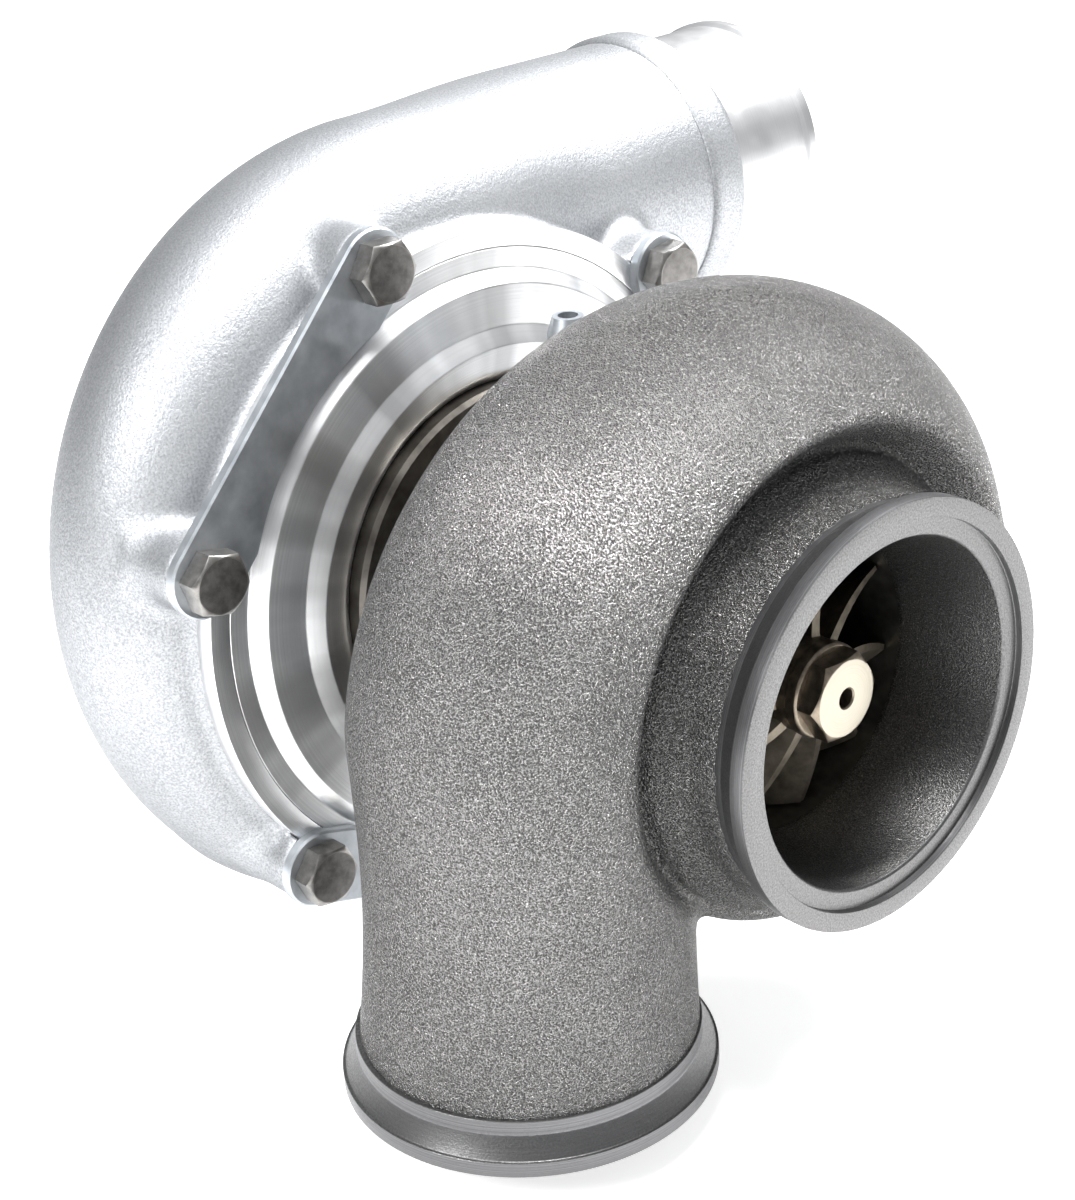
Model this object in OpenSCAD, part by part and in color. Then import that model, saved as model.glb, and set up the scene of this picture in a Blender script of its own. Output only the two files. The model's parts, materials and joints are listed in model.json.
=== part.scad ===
// Turbocharger with V-band turbine flanges and a hose-mounted compressor.
// The origin is the centre of the turbine inlet flange's register, which the turbocharger hangs
// from, and the inlet faces down. +X is the way the exhaust leaves along the shaft, and +Z is up.
// Every module is drawn about the shaft, with x = 0 at the turbine outlet's face, and placed()
// moves it to that origin. All sizes are in millimetres.

/* [Show] */
// Sub-part to show

/* [Turbine housing] */
// Turbine outlet flange diameter
outlet_flange_d = 90.2; // [80:0.1:100]
// Turbine outlet bore at the flange face
outlet_bore_d = 73.5; // [60:0.1:80]
// Turbine inlet flange diameter
inlet_flange_d = 80; // [70:0.1:90]
// Turbine inlet bore
inlet_bore_d = 63.5; // [50:0.1:70]
// Turbine inlet axis, distance behind the outlet face
inlet_back = 55; // [45:0.5:65]
// Turbine inlet axis, distance out from the shaft
inlet_side = 53.5; // [45:0.5:60]
// Turbine inlet face, depth below the shaft
inlet_drop = 79.5; // [70:0.5:95]
// Wall of the turbine scroll
hot_wall = 5; // [4:0.5:7]

/* [Compressor housing] */
// Compressor outlet spigot diameter, for a 2.5 inch hose
hose_d = 63.5; // [50:0.1:76]
// Compressor outlet bore
hose_bore_d = 57.2; // [45:0.1:60]
// Compressor inlet spigot diameter, for a 4 inch hose
intake_d = 101.6; // [76:0.1:102]
// Compressor inlet bore
intake_bore_d = 93.6; // [70:0.1:95]
// Distance from the turbine outlet face to the compressor cover's mounting face
cover_back = 121.8; // [110:0.1:130]
// Distance from the turbine outlet face to the end of the compressor inlet
intake_back = 214; // [200:1:225]
// Wall of the compressor scroll
cold_wall = 4; // [3:0.5:6]

/* [Compressor cover bolts] */
// Bolt circle diameter
cover_bolt_circle = 161.6; // [150:0.1:170]
// Angle between the two bolts of one clamp plate
plate_span = 54.7; // [50:0.1:60]
// Angle of the upper plate, from +Y towards +Z
upper_plate_angle = 136.5; // [120:0.5:150]
// Angle of the lower plate, from +Y towards +Z
lower_plate_angle = 252; // [240:1:270]
// Angle of the side plate, from +Y towards +Z
side_plate_angle = 15.2; // [0:0.1:30]
// Thickness of the clamp plates
plate_t = 2.8; // [2:0.1:4]

/* [Rotor] */
// Turbine wheel diameter at its inlet
turbine_d = 70; // [60:0.5:80]
// Turbine wheel diameter at its outlet
exducer_d = 64.2; // [55:0.1:70]
// Turbine blades
turbine_blades = 10; // [8:1:12]
// Compressor wheel diameter at its outlet
compressor_d = 84; // [70:0.5:90]
// Compressor wheel diameter at its inlet
inducer_d = 62; // [50:0.5:70]
// Compressor blades, half of them short splitters
compressor_blades = 12; // [10:2:16]
// Shaft diameter in the journal bearings
journal_d = 11; // [8:0.5:14]
// Shaft diameter under the compressor wheel
stub_d = 8; // [6:0.5:10]

/* [Hidden] */

eps = 0.01;
slip = 0.04;              // running clearance on radius
edge = 0.4;               // broken edge of a turned rim
past = 1;                 // how far a cut runs past a face
fine = 96;                // steps of a true curve
mesh_sides = 48;          // sides of the round bodies in a scroll's mesh
ring_sides = 28;          // sides of a scroll section
scroll_step = 0.03;       // step of s from one scroll section to the next
blade_step = 0.125;       // step of t along a blade

iron = [0.45, 0.45, 0.46];
aluminium = [0.82, 0.83, 0.85];
steel = [0.62, 0.62, 0.6];
zinc = [0.7, 0.73, 0.76];
nickel = [0.55, 0.5, 0.42];
bronze = [0.72, 0.55, 0.3];
rubber = [0.1, 0.1, 0.1];

// Bolts and screws, as [across flats, head height, shank diameter, shank length]
m8_bolt = [13, 5.3, 8, 13];
m4_screw = [7, 2.8, 4, 9];
m8_hole_d = 8.4;

// V-band flanges
flange_lip = 3.4;         // straight rim
flange_cone = 4.4;        // length of the cone behind the rim
register = 1.6;           // depth of the register
outlet_register_r = 40.9;
inlet_register_r = 36;
outlet_neck_r = 42.4;
inlet_neck_r = 36.7;
inlet_neck_depth = 11;
inlet_cast_r = 36.4;      // cast neck that the inlet flange is turned on

// Turbine housing, back to front
hot_face_x = -76;         // face behind which the bearing housing is clamped
hot_seat_x = -70;         // bottom of the bearing housing's register
hot_seat_r = 43.5;
hot_pad_r = 56;           // pad that the clamp bolts screw into
hot_core_r = 45;          // body between the scroll and the wheel
hot_pocket_r = 57.5;      // relief round the clamp plates
hot_bolt_r = 49;
hot_bolt_angles = [45, 135, 225, 315];
hot_plate_t = 3;
hot_plate_gap = 20;       // gap between the two half rings, for the oil boss
hot_gap = 0.35;           // blade tip clearance
nozzle_front_x = -48.5;
nozzle_back_x = -58.5;
nozzle_r = 58;            // where the nozzle slot opens into the scroll
exducer_x = -24.8;        // where the outlet cone meets the wheel's bore
nose_front_x = -12.7;     // front of the wheel's nose

// Compressor cover, back to front
cold_face_x = -cover_back;
diffuser_x = -128;        // wall of the diffuser on the backplate
shroud_x = -133;          // wall of the diffuser in the cover
cover_bore_r = 72.5;
rim_r = 77.4;
rim_back_x = -125.4;
bolt_pad_d = 18;
outlet_x = -167;          // compressor outlet axis
outlet_z = 62;
spigot_end_y = 133;
cold_gap = 0.3;           // blade tip clearance

// Bearing housing
flange_front_x = -113;    // front of the compressor side flange
flange_seat_x = -121;     // seat of the backplate
bearing_flange_r = 43.5;
backplate_bolt_r = 36;
backplate_bolt_angles = [0 : 60 : 300];
bearing_d = 17;           // outside of a journal bearing
bearing_l = 8;
bearing_x = [-80.2, -98.7];
snap_ring_x = [-78.9, -88.2, -97.4, -106.7];
snap_groove_w = 1.3;
seal_bore_d = 21;         // bore of the turbine side's seal
thrust_x = -111.5;        // seat of the thrust bearing
thrust_pocket_d = 50;
thrust_t = 4;
thrust_hub_r = 6;         // thrust collar between its two faces
thrust_screw_r = 18;
thrust_screw_angles = [30, 150];
deflector_x = -120;
collar_seal_d = 18;       // bore of the compressor side's seal

// Oil ways
boss_x = -89;
boss_r = 12;
boss_top_z = 44;
boss_thread_d = 10.5;
gallery_z = 17;           // oil gallery along the top of the bearing housing
gallery_d = 3.2;
feed_d = 2.4;
fitting_bore_d = 4.4;
washer_t = 1.5;
drain_x = -92;
drain_z = -47;
drain_r = 15;
drain_bore_d = 16;
drain_bolt_y = 19;

// ---- helpers ----

// Moves what is drawn about the shaft to the origin at the turbine inlet.
module placed() {
    translate([inlet_back, inlet_side, inlet_drop - register]) children();
}

// A profile of [radius, x] points turned about the shaft axis.
module lathe(points) {
    rotate([0, 90, 0]) rotate_extrude($fn = fine) polygon(points);
}

// A cylinder along the shaft axis between two x positions.
module along_x(d, x0, x1) {
    translate([min(x0, x1), 0, 0]) rotate([0, 90, 0]) cylinder(d = d, h = abs(x1 - x0), $fn = fine);
}

// A cone along the shaft axis with flat sides, for the scrolls' meshes.
module mesh_cone(r0, x0, r1, x1) {
    translate([x0, 0, 0]) rotate([0, 90, 0]) cylinder(r1 = r0, r2 = r1, h = x1 - x0, $fn = mesh_sides);
}

// Places children at an angle and radius round the shaft axis, at one x.
module polar(angle, r, x) {
    translate([x, r * cos(angle), r * sin(angle)]) children();
}

// A hexagon prism along x that starts at x = 0 and grows towards +X.
module hex_x(across_flats, h) {
    rotate([0, 90, 0]) cylinder(d = across_flats / cos(30), h = h, $fn = 6);
}

// A hexagon bolt: the seat is at x = 0, the head grows to +X and the shank to -X.
module hex_bolt(size) {
    flats = size[0];
    head_h = size[1];
    shank_r = size[2] / 2;
    shank_l = size[3];
    face_r = 0.47 * flats;
    intersection() {
        hex_x(flats, head_h);
        lathe([[0, 0], [flats, 0], [0.62 * flats, head_h - 1.2], [face_r, head_h], [0, head_h]]);
    }
    lathe([[0, eps], [shank_r, eps], [shank_r, 1 - shank_l], [shank_r - 1, -shank_l], [0, -shank_l]]);
}

// A round-section seal ring about the shaft axis.
module seal_ring(r, section_r, x) {
    translate([x, 0, 0]) rotate([0, 90, 0]) rotate_extrude($fn = fine)
        translate([r, 0]) circle(r = section_r, $fn = fine);
}

// A split ring along the shaft axis, with its gap at the top.
module split_ring(outer_d, inner_d, x, width, gap) {
    difference() {
        along_x(outer_d, x, x - width);
        along_x(inner_d, x + past, x - width - past);
        translate([x - width - past, -gap / 2, inner_d / 4]) cube([width + 2 * past, gap, inner_d]);
    }
}

// One closed section: a circle of radius a round centre c, spanned by unit vectors u and v.
function ring(c, a, u, v) = [for (i = [0 : ring_sides - 1])
    c + a * (cos(360 * i / ring_sides) * u + sin(360 * i / ring_sides) * v)];

// A closed skin over a list of sections.
module skin(rings) {
    n = ring_sides;
    last = len(rings) - 1;
    points = [for (r = rings) each r];
    sides = [for (j = [0 : last - 1]) for (i = [0 : n - 1]) each [
        [j * n + i, (j + 1) * n + (i + 1) % n, (j + 1) * n + i],
        [j * n + i, j * n + (i + 1) % n, (j + 1) * n + (i + 1) % n]]];
    start = [[for (i = [0 : n - 1]) n - 1 - i]];
    end = [[for (i = [0 : n - 1]) last * n + i]];
    polyhedron(points = points, faces = concat(start, sides, end), convexity = 8);
}

// A section of a scroll at an angle round the shaft, with its centre at one x and radius.
function scroll_ring(angle, x, r, a) = ring([x, r * cos(angle), r * sin(angle)], a, [1, 0, 0],
    [0, cos(angle), sin(angle)]);

function smooth(t) = t * t * (3 - 2 * t);
function mix(from, to, t) = from + (to - from) * t;

// ---- turbine housing ----

// The scroll: s runs from 0 at the inlet to 1 at the small end.
hot_turn = 320;
function hot_angle(s) = 180 - hot_turn * s;
function hot_x(s) = -52 + 18 * s;
function hot_centre(s) = 51 - 15 * s;
function hot_outer(s) = 87.5 - 26 * s - 14 * pow(s, 4);
function hot_a(s) = hot_outer(s) - hot_centre(s);
function hot_section(s, inset) =
    scroll_ring(hot_angle(s), hot_x(s), hot_centre(s), hot_a(s) - inset);

// The inlet duct: t runs from 0 at the scroll to 1 at the flange.
duct_waist = 2;
function duct_a(t) = mix(hot_a(0), inlet_cast_r, t) - duct_waist * sin(180 * t);
function duct_inset(t, inset) = mix(inset, (inlet_cast_r - inlet_bore_d / 2) * min(inset, 1), t);
function duct_section(t, inset) = ring(
    [mix(hot_x(0), -inlet_back, t), -mix(hot_centre(0), inlet_side, t), (flange_lip - inlet_drop) * t],
    duct_a(t) - duct_inset(t, inset), [1, 0, 0], [0, -1, 0]);

// The duct and the first part of the scroll are one skin, and the rest of the scroll is another.
module hot_scroll(inset) {
    skin([
        for (t = [1 : -0.2 : 0.2]) duct_section(t, inset),
        for (s = [0 : scroll_step : 0.601]) hot_section(s, inset)]);
    skin([for (s = [0.55 : scroll_step : 1.001]) hot_section(s, inset)]);
}

// The scroll's casting: its hollow keeps clear of the bolt pad and of the wheel's bore.
module hot_shell() {
    guard_r = hot_core_r - 2;
    resize([0, 0, 0]) difference() {
        union() {
            hot_scroll(0);
            mesh_cone(hot_pad_r, hot_face_x, hot_pad_r, -60);
            mesh_cone(hot_core_r, -62, hot_core_r, -22);
        }
        difference() {
            hot_scroll(hot_wall);
            mesh_cone(hot_pocket_r + hot_wall, -100, hot_pocket_r + hot_wall, -62);
            mesh_cone(guard_r, -62, guard_r, 0);
            mesh_cone(guard_r, -34, 66, -16);
        }
    }
}

// A V-band flange from its face inwards, as [radius, height] points.
function vband(flange_r, neck_r, bore_r, depth) = [
    [bore_r, 0], [flange_r - edge, 0], [flange_r, -edge], [flange_r, -flange_lip],
    [flange_r - 0.6, -flange_lip], [neck_r, -flange_lip - flange_cone], [neck_r, -depth],
    [bore_r, -depth]];

// The outlet flange, then the turned neck's two creases and rounded shoulder down to the scroll.
module hot_outlet_neck() {
    core_r = 30;
    lathe(vband(outlet_flange_d / 2, outlet_neck_r, core_r, 10));
    lathe([[core_r, -9.4], [43.2, -9.4], [43.6, -15], [46.5, -18], [48.6, -20.5], [48.8, -23],
        [47, -27], [core_r, -27]]);
}

// Clears the scroll's casting away from round the outlet neck.
module hot_neck_clearance() {
    lathe([[20, -26], [50.5, -24], [60, -9], [60, 3], [20, 3]]);
}

module hot_inlet_flange() {
    translate([-inlet_back, -inlet_side, -inlet_drop]) mirror([0, 0, 1]) rotate_extrude($fn = fine)
        polygon(vband(inlet_flange_d / 2, inlet_neck_r, inlet_bore_d / 2 - 3, inlet_neck_depth));
}

// The space that the turbine wheel turns in, with the outlet cone and the nozzle slot.
module hot_bore() {
    bore_r = outlet_bore_d / 2;
    back_x = hot_seat_x - past;
    lathe(concat(
        [[0, past], [bore_r + 0.6, past], [bore_r + 0.6, -register], [bore_r, -register - 0.5],
            [exducer_d / 2 + hot_gap, exducer_x]],
        [for (p = tip_line_hot) [p[0] + hot_gap, p[1]]],
        [[nozzle_r, nozzle_front_x], [nozzle_r, nozzle_back_x], [42, nozzle_back_x], [42, back_x],
            [0, back_x]]));
    along_x(2 * outlet_register_r, -register, past);
    along_x(2 * hot_seat_r, hot_seat_x, hot_face_x - past);
    along_x(2 * hot_pocket_r, hot_face_x, -110);
}

module hot_inlet_bore() {
    translate([-inlet_back, -inlet_side, -inlet_drop - past]) {
        cylinder(d = inlet_bore_d, h = 16, $fn = fine);
        cylinder(r = inlet_register_r, h = register + past, $fn = fine);
    }
}

module turbine_housing() {
    placed() color(iron) difference() {
        union() {
            difference() {
                hot_shell();
                hot_neck_clearance();
            }
            hot_outlet_neck();
            hot_inlet_flange();
        }
        hot_bore();
        hot_inlet_bore();
        for (a = hot_bolt_angles)
            polar(a, hot_bolt_r, 0) along_x(m8_bolt[2], hot_face_x - past, hot_face_x + 11);
    }
}

// Two half rings that clamp the bearing housing's flange.
module turbine_clamp_plates() {
    inner_r = 39.5;
    outer_r = hot_pad_r - 1;
    back_x = hot_face_x - hot_plate_t;
    placed() color(zinc) for (side = [0, 180]) rotate([side, 0, 0]) difference() {
        lathe([[inner_r, back_x], [outer_r, back_x], [outer_r, hot_face_x], [inner_r, hot_face_x]]);
        translate([back_x - past, -80, -80]) cube([10, 80 + hot_plate_gap / 2, 160]);
        for (a = [-45, 45])
            polar(a, hot_bolt_r, 0) along_x(m8_hole_d, back_x - past, hot_face_x + past);
    }
}

module turbine_housing_bolts() {
    placed() color(steel) for (a = hot_bolt_angles)
        polar(a, hot_bolt_r, hot_face_x - hot_plate_t) mirror([1, 0, 0]) hex_bolt(m8_bolt);
}

// ---- rotor ----

// A point of a curved line through an inlet end p and an outlet end q, both given as [radius, x];
// it leaves the first along x and reaches the second along the radius.
function elbow(p, q, t, power) = [
    p[0] + (q[0] - p[0]) * (1 - pow(cos(90 * t), power)),
    p[1] + (q[1] - p[1]) * pow(sin(90 * t), power)];

blade_t = [for (t = [0 : blade_step : 1.001]) t];
tip_line_hot = [for (t = blade_t) elbow([exducer_d / 2, -29], [turbine_d / 2, nozzle_front_x], t, 1)];
hub_line_hot = [for (t = blade_t) elbow([10, -20.6], [turbine_d / 2 - 1, -59.3], t, 1)];
root_line_hot = [for (t = blade_t) elbow([10, -22], [turbine_d / 2 - 1, -59.3], t, 1)];
tip_line_cold = [for (t = blade_t) elbow([inducer_d / 2, -162], [compressor_d / 2, -132.6], t, 1.2)];
hub_line_cold = [for (t = blade_t) elbow([9.5, -164], [compressor_d / 2, -128.9], t, 1.2)];

// The angle of the turbine blades at a station of the shaft: they stand straight where the gas
// comes in and slant more and more towards the outlet.
slant_start_x = -56;
slant_growth = 0.036;     // degrees per square millimetre
function hot_blade_angle(x) = slant_growth * pow(max(0, x - slant_start_x), 2);

// One blade: a thin ribbon between two lines of points [radius, x, angle], its root and its tip.
// root_t and tip_t are the thicknesses at the two edges.
module blade(root, tip, root_t, tip_t) {
    n = len(root) - 1;
    function at(p, side, t) = let (a = p[2] + side * asin(t / 2 / max(p[0], t)))
        [p[1], p[0] * cos(a), p[0] * sin(a)];
    rings = [for (i = [0 : n]) [
        at(root[i], -1, root_t), at(root[i], 1, root_t), at(tip[i], 1, tip_t), at(tip[i], -1, tip_t)]];
    sides = [for (j = [0 : n - 1]) for (i = [0 : 3]) each [
        [j * 4 + i, (j + 1) * 4 + i, (j + 1) * 4 + (i + 1) % 4],
        [j * 4 + i, (j + 1) * 4 + (i + 1) % 4, j * 4 + (i + 1) % 4]]];
    polyhedron(points = [for (r = rings) each r], convexity = 6,
        faces = concat([[0, 1, 2, 3]], sides, [[n * 4 + 3, n * 4 + 2, n * 4 + 1, n * 4]]));
}

// The bevelled hexagon on the wheel's nose, which holds the rotor while the nut is turned.
module nose_hex() {
    flats = 17;
    back_x = -17.6;
    clocking = 32;
    intersection() {
        translate([back_x, 0, 0]) rotate([clocking, 0, 0]) hex_x(flats, nose_front_x - back_x);
        lathe([[0, -20], [11, -20], [10.6, -14.2], [8.4, nose_front_x], [0, nose_front_x]]);
    }
}

// Nose and its collar; hub; back of the wheel with its seal groove; shaft.
module turbine_hub_and_shaft() {
    nose = [[0, -14], [8.2, -14], [8.2, -17.4], [9.8, -17.4], [10.3, -17.9], [10.3, -20.2]];
    seal_r = seal_bore_d / 2 - 0.1;
    back = [[turbine_d / 2 - 0.5, -60.3], [14, -61.2], [seal_r, -62.2], [seal_r, -66.5], [9.1, -66.5],
        [9.1, -68.2], [seal_r, -68.2], [seal_r, -72]];
    shaft = [[journal_d / 2, -74], [journal_d / 2, -107.5], [stub_d / 2, -108],
        [stub_d / 2, -173.2], [stub_d / 2 - 0.8, -174], [0, -174]];
    difference() {
        lathe(concat(nose, hub_line_hot, back, shaft));
        along_x(4.2, -20, nose_front_x + past);
    }
}

module turbine_wheel_and_shaft() {
    placed() color(nickel) {
        nose_hex();
        turbine_hub_and_shaft();
        for (k = [0 : turbine_blades - 1]) rotate([360 * k / turbine_blades, 0, 0])
            blade([for (p = root_line_hot) [p[0] - 1.2, p[1] - 0.5, hot_blade_angle(p[1])]],
                [for (p = tip_line_hot) [p[0], p[1], hot_blade_angle(p[1])]], 2.6, 1.2);
    }
}

// A compressor blade. A splitter starts two points further in than a full blade.
module compressor_blade(first) {
    last = len(blade_t) - 1;
    points = [last : -1 : first];
    function angle(i) = 70 * pow(1 - blade_t[i], 1.4) - 18 * pow(blade_t[i], 3);
    blade([for (i = points) [hub_line_cold[i][0] - 0.9, hub_line_cold[i][1] + 0.4, angle(i)]],
        [for (i = points) [tip_line_cold[i][0], tip_line_cold[i][1], angle(i)]], 1.5, 0.9);
}

module compressor_wheel() {
    bore_r = stub_d / 2 + 0.02;
    placed() color(aluminium) {
        lathe(concat([[bore_r, -166], [8.6, -166]], hub_line_cold,
            [[compressor_d / 2, -128.4], [20, -127.4], [12, -127.2], [bore_r, -127.2]]));
        for (k = [0 : compressor_blades - 1]) rotate([360 * k / compressor_blades, 0, 0])
            compressor_blade(k % 2 == 0 ? 0 : 2);
    }
}

module compressor_nut() {
    placed() color(steel) difference() {
        union() {
            translate([-172.5, 0, 0]) hex_x(12, 6);
            along_x(14, -166.6, -166);
        }
        along_x(stub_d, -175, -160);
    }
}

module thrust_collar() {
    face_r = 8;
    seal_r = 8.8;
    bore_r = stub_d / 2 + 0.02;
    placed() color(steel) lathe([[bore_r, -108.1], [face_r, -108.1], [face_r, thrust_x + 0.1],
        [thrust_hub_r, thrust_x + 0.1], [thrust_hub_r, thrust_x - thrust_t - 0.1],
        [face_r, thrust_x - thrust_t - 0.1], [seal_r, -118], [seal_r, -122.4], [7.6, -122.4],
        [7.6, -124], [seal_r, -124], [seal_r, -127.2], [bore_r, -127.2]]);
}

// ---- bearing housing and what it holds ----

// A pressed dish between the turbine wheel and the bearing housing.
module heat_shield() {
    t = 1;
    rim_r0 = 38;
    placed() color(steel) lathe([[13, -62.2], [30, -62.2], [36, -64.2], [rim_r0 + t, -66],
        [rim_r0 + t, hot_seat_x], [43, hot_seat_x], [43, hot_seat_x - t], [rim_r0, hot_seat_x - t],
        [rim_r0, -66.8], [35.5, -65.2], [30, -62.2 - t], [13, -62.2 - t]]);
}

// Nose, turbine side flange, waist and compressor side flange.
module bearing_housing_body() {
    flange_r = hot_seat_r - 0.1;
    front_x = hot_seat_x - 1;
    lathe([[0, -64.5], [14, -64.5], [16, -66], [20, -70], [37, front_x], [flange_r, front_x],
        [flange_r, hot_face_x + 1], [flange_r - 1, hot_face_x], [38, hot_face_x],
        [30, -80], [28, -86], [28, -98], [31, -106], [38, flange_front_x],
        [bearing_flange_r - 1, flange_front_x], [bearing_flange_r, flange_front_x - 1],
        [bearing_flange_r, flange_seat_x], [0, flange_seat_x]]);
    translate([boss_x, 0, 0]) cylinder(r = boss_r, h = boss_top_z, $fn = fine);
    translate([drain_x, 0, drain_z]) {
        cylinder(r = drain_r, h = -drain_z, $fn = fine);
        translate([-12.5, -26, 0]) cube([25, 52, 9]);
    }
}

module shaft_bores() {
    along_x(bearing_d + 2 * slip, -60, -125);
    along_x(seal_bore_d, -60, -74);
    for (x = snap_ring_x) along_x(20.2, x, x - snap_groove_w);
    along_x(thrust_pocket_d, thrust_x, -125);
}

// From the fitting's thread down to the gallery, and from there to each bearing.
module oil_feed() {
    translate([boss_x, 0, 28]) cylinder(d = boss_thread_d, h = 30, $fn = fine);
    translate([boss_x, 0, gallery_z]) cylinder(d = feed_d, h = 14, $fn = fine);
    translate([0, 0, gallery_z]) along_x(gallery_d, -82.3, -104.6);
    for (x = bearing_x)
        translate([x - bearing_l / 2, 0, 7.5]) cylinder(d = feed_d, h = gallery_z - 7.5, $fn = fine);
}

// A ring-shaped chamber between the bearings, the drain's bore and its two bolt holes.
module oil_drain_way() {
    translate([drain_x, 0, 0]) lathe([[8.6, -5], [14, -3], [14, 3], [8.6, 5], [0, 5], [0, -5]]);
    translate([drain_x, 0, drain_z - past]) {
        cylinder(d = drain_bore_d, h = 38, $fn = fine);
        for (y = [-drain_bolt_y, drain_bolt_y])
            translate([0, y, 0]) cylinder(d = m8_bolt[2], h = 12, $fn = fine);
    }
}

module bearing_housing() {
    groove_r = bearing_flange_r - 2;
    placed() color(iron) difference() {
        bearing_housing_body();
        shaft_bores();
        oil_feed();
        oil_drain_way();
        for (a = backplate_bolt_angles)
            polar(a, backplate_bolt_r, 0) along_x(6, flange_seat_x - past, -114.5);
        for (a = thrust_screw_angles)
            polar(a, thrust_screw_r, 0) along_x(m4_screw[2], thrust_x - past, -101.5);
        lathe([[groove_r, -117.9], [groove_r + 3, -117.9], [groove_r + 3, -120.5], [groove_r, -120.5]]);
    }
}

// Thread, hexagon, thread for the feed line's nut, and flared nose.
module oil_inlet_fitting() {
    nut_z = boss_top_z + washer_t;
    placed() color(zinc) translate([boss_x, 0, 0]) difference() {
        union() {
            translate([0, 0, 32]) cylinder(d = boss_thread_d, h = 14, $fn = fine);
            translate([0, 0, nut_z]) cylinder(d = 14.29 / cos(30), h = 6.5, $fn = 6);
            translate([0, 0, nut_z + 5.5]) rotate_extrude($fn = fine)
                polygon([[0, 0], [4.6, 0], [4.6, 1.5], [5.5, 2], [5.5, 8], [4.6, 8.6], [4.6, 10.5],
                    [3.4, 14.3], [0, 14.3]]);
        }
        translate([0, 0, 30]) cylinder(d = fitting_bore_d, h = 40, $fn = fine);
    }
}

module oil_inlet_washer() {
    placed() color(bronze) translate([boss_x, 0, boss_top_z]) difference() {
        cylinder(d = 17, h = washer_t, $fn = fine);
        translate([0, 0, -past]) cylinder(d = boss_thread_d + 0.1, h = 4, $fn = fine);
    }
}

// A full-floating bushing with six oil holes.
module journal_bearing(x0) {
    placed() color(bronze) difference() {
        along_x(bearing_d, x0, x0 - bearing_l);
        along_x(journal_d + 2 * slip, x0 + past, x0 - bearing_l - past);
        for (a = [0 : 60 : 300])
            rotate([a, 0, 0]) translate([x0 - bearing_l / 2, 0, 4]) cylinder(d = 2, h = 6, $fn = fine);
    }
}

module journal_bearing_turbine() {
    journal_bearing(bearing_x[0]);
}

module journal_bearing_compressor() {
    journal_bearing(bearing_x[1]);
}

// Open rings that hold the bearings in place along the shaft.
module bearing_snap_rings() {
    placed() color(steel) for (x = snap_ring_x)
        split_ring(20, 14.4, x - 0.05, snap_groove_w - 0.1, 3);
}

module piston_ring_turbine() {
    placed() color(steel) split_ring(seal_bore_d, 18.5, -66.6, 1.5, 0.4);
}

module piston_ring_compressor() {
    placed() color(steel) split_ring(collar_seal_d, 15.4, -122.5, 1.4, 0.4);
}

// A disc with a slot below, through which it is slipped over the thrust collar.
module thrust_bearing() {
    hub_d = 2 * (thrust_hub_r + slip);
    placed() color(bronze) difference() {
        along_x(thrust_pocket_d - 0.2, thrust_x, thrust_x - thrust_t);
        along_x(hub_d, thrust_x + past, thrust_x - thrust_t - past);
        translate([thrust_x - thrust_t - past, -hub_d / 2, -30]) cube([thrust_t + 2 * past, hub_d, 30]);
        for (a = thrust_screw_angles) polar(a, thrust_screw_r, 0)
            along_x(m4_screw[2] + 0.4, thrust_x + past, thrust_x - thrust_t - past);
    }
}

module thrust_bearing_screws() {
    placed() color(steel) for (a = thrust_screw_angles)
        polar(a, thrust_screw_r, thrust_x - thrust_t) mirror([1, 0, 0]) hex_bolt(m4_screw);
}

// A thin shield that keeps thrown oil off the compressor's seal, cut off straight below.
module oil_deflector() {
    r = thrust_pocket_d / 2 - 0.2;
    placed() color(steel) difference() {
        lathe([[9.6, deflector_x], [r, deflector_x], [r, flange_seat_x], [9.6, flange_seat_x]]);
        translate([flange_seat_x - past, -30, -30]) cube([3, 60, 16]);
    }
}

// ---- compressor backplate ----

// Inner skirt over the bearing housing's flange, turned face with two steps and a raised band,
// rim with the seal's groove, and the diffuser's flat wall.
module backplate_profile() {
    skirt_r = bearing_flange_r + 0.05;
    outer_r = cover_bore_r - 0.15;
    groove_r = 70.1;
    lathe([[collar_seal_d / 2, flange_seat_x], [skirt_r, flange_seat_x], [skirt_r, -117.5],
        [45.8, -115.9], [51.9, -114.8], [55.7, -117.3], [64.8, -118.4], [67.8, cold_face_x],
        [outer_r, cold_face_x], [outer_r, -123.9], [groove_r, -123.9], [groove_r, -126.7],
        [outer_r, -126.7], [outer_r, diffuser_x + 0.3], [outer_r - 0.35, diffuser_x],
        [43.5, diffuser_x], [43, -126.4], [collar_seal_d / 2, -126.4]]);
}

module compressor_backplate() {
    placed() color(aluminium) difference() {
        backplate_profile();
        for (a = backplate_bolt_angles) polar(a, backplate_bolt_r, 0) {
            along_x(6.4, -119, diffuser_x);
            along_x(11.5, -123.2, diffuser_x);
        }
    }
}

module backplate_o_ring() {
    placed() color(rubber) seal_ring(71.3, 1.18, -125.3);
}

module center_housing_o_ring() {
    placed() color(rubber) seal_ring(42.5, 0.98, -119.2);
}

// Low-headed socket screws from the compressor's side.
module backplate_bolts() {
    head_r = 5;
    head_h = 3;
    placed() color(steel) for (a = backplate_bolt_angles) polar(a, backplate_bolt_r, 0) {
        translate([-123.2, 0, 0]) mirror([1, 0, 0]) difference() {
            lathe([[0, 0], [head_r, 0], [head_r, head_h - edge], [head_r - edge, head_h], [0, head_h]]);
            translate([1.2, 0, 0]) hex_x(5, head_h);
        }
        along_x(6, -124, -115);
    }
}

// ---- compressor housing ----

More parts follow.
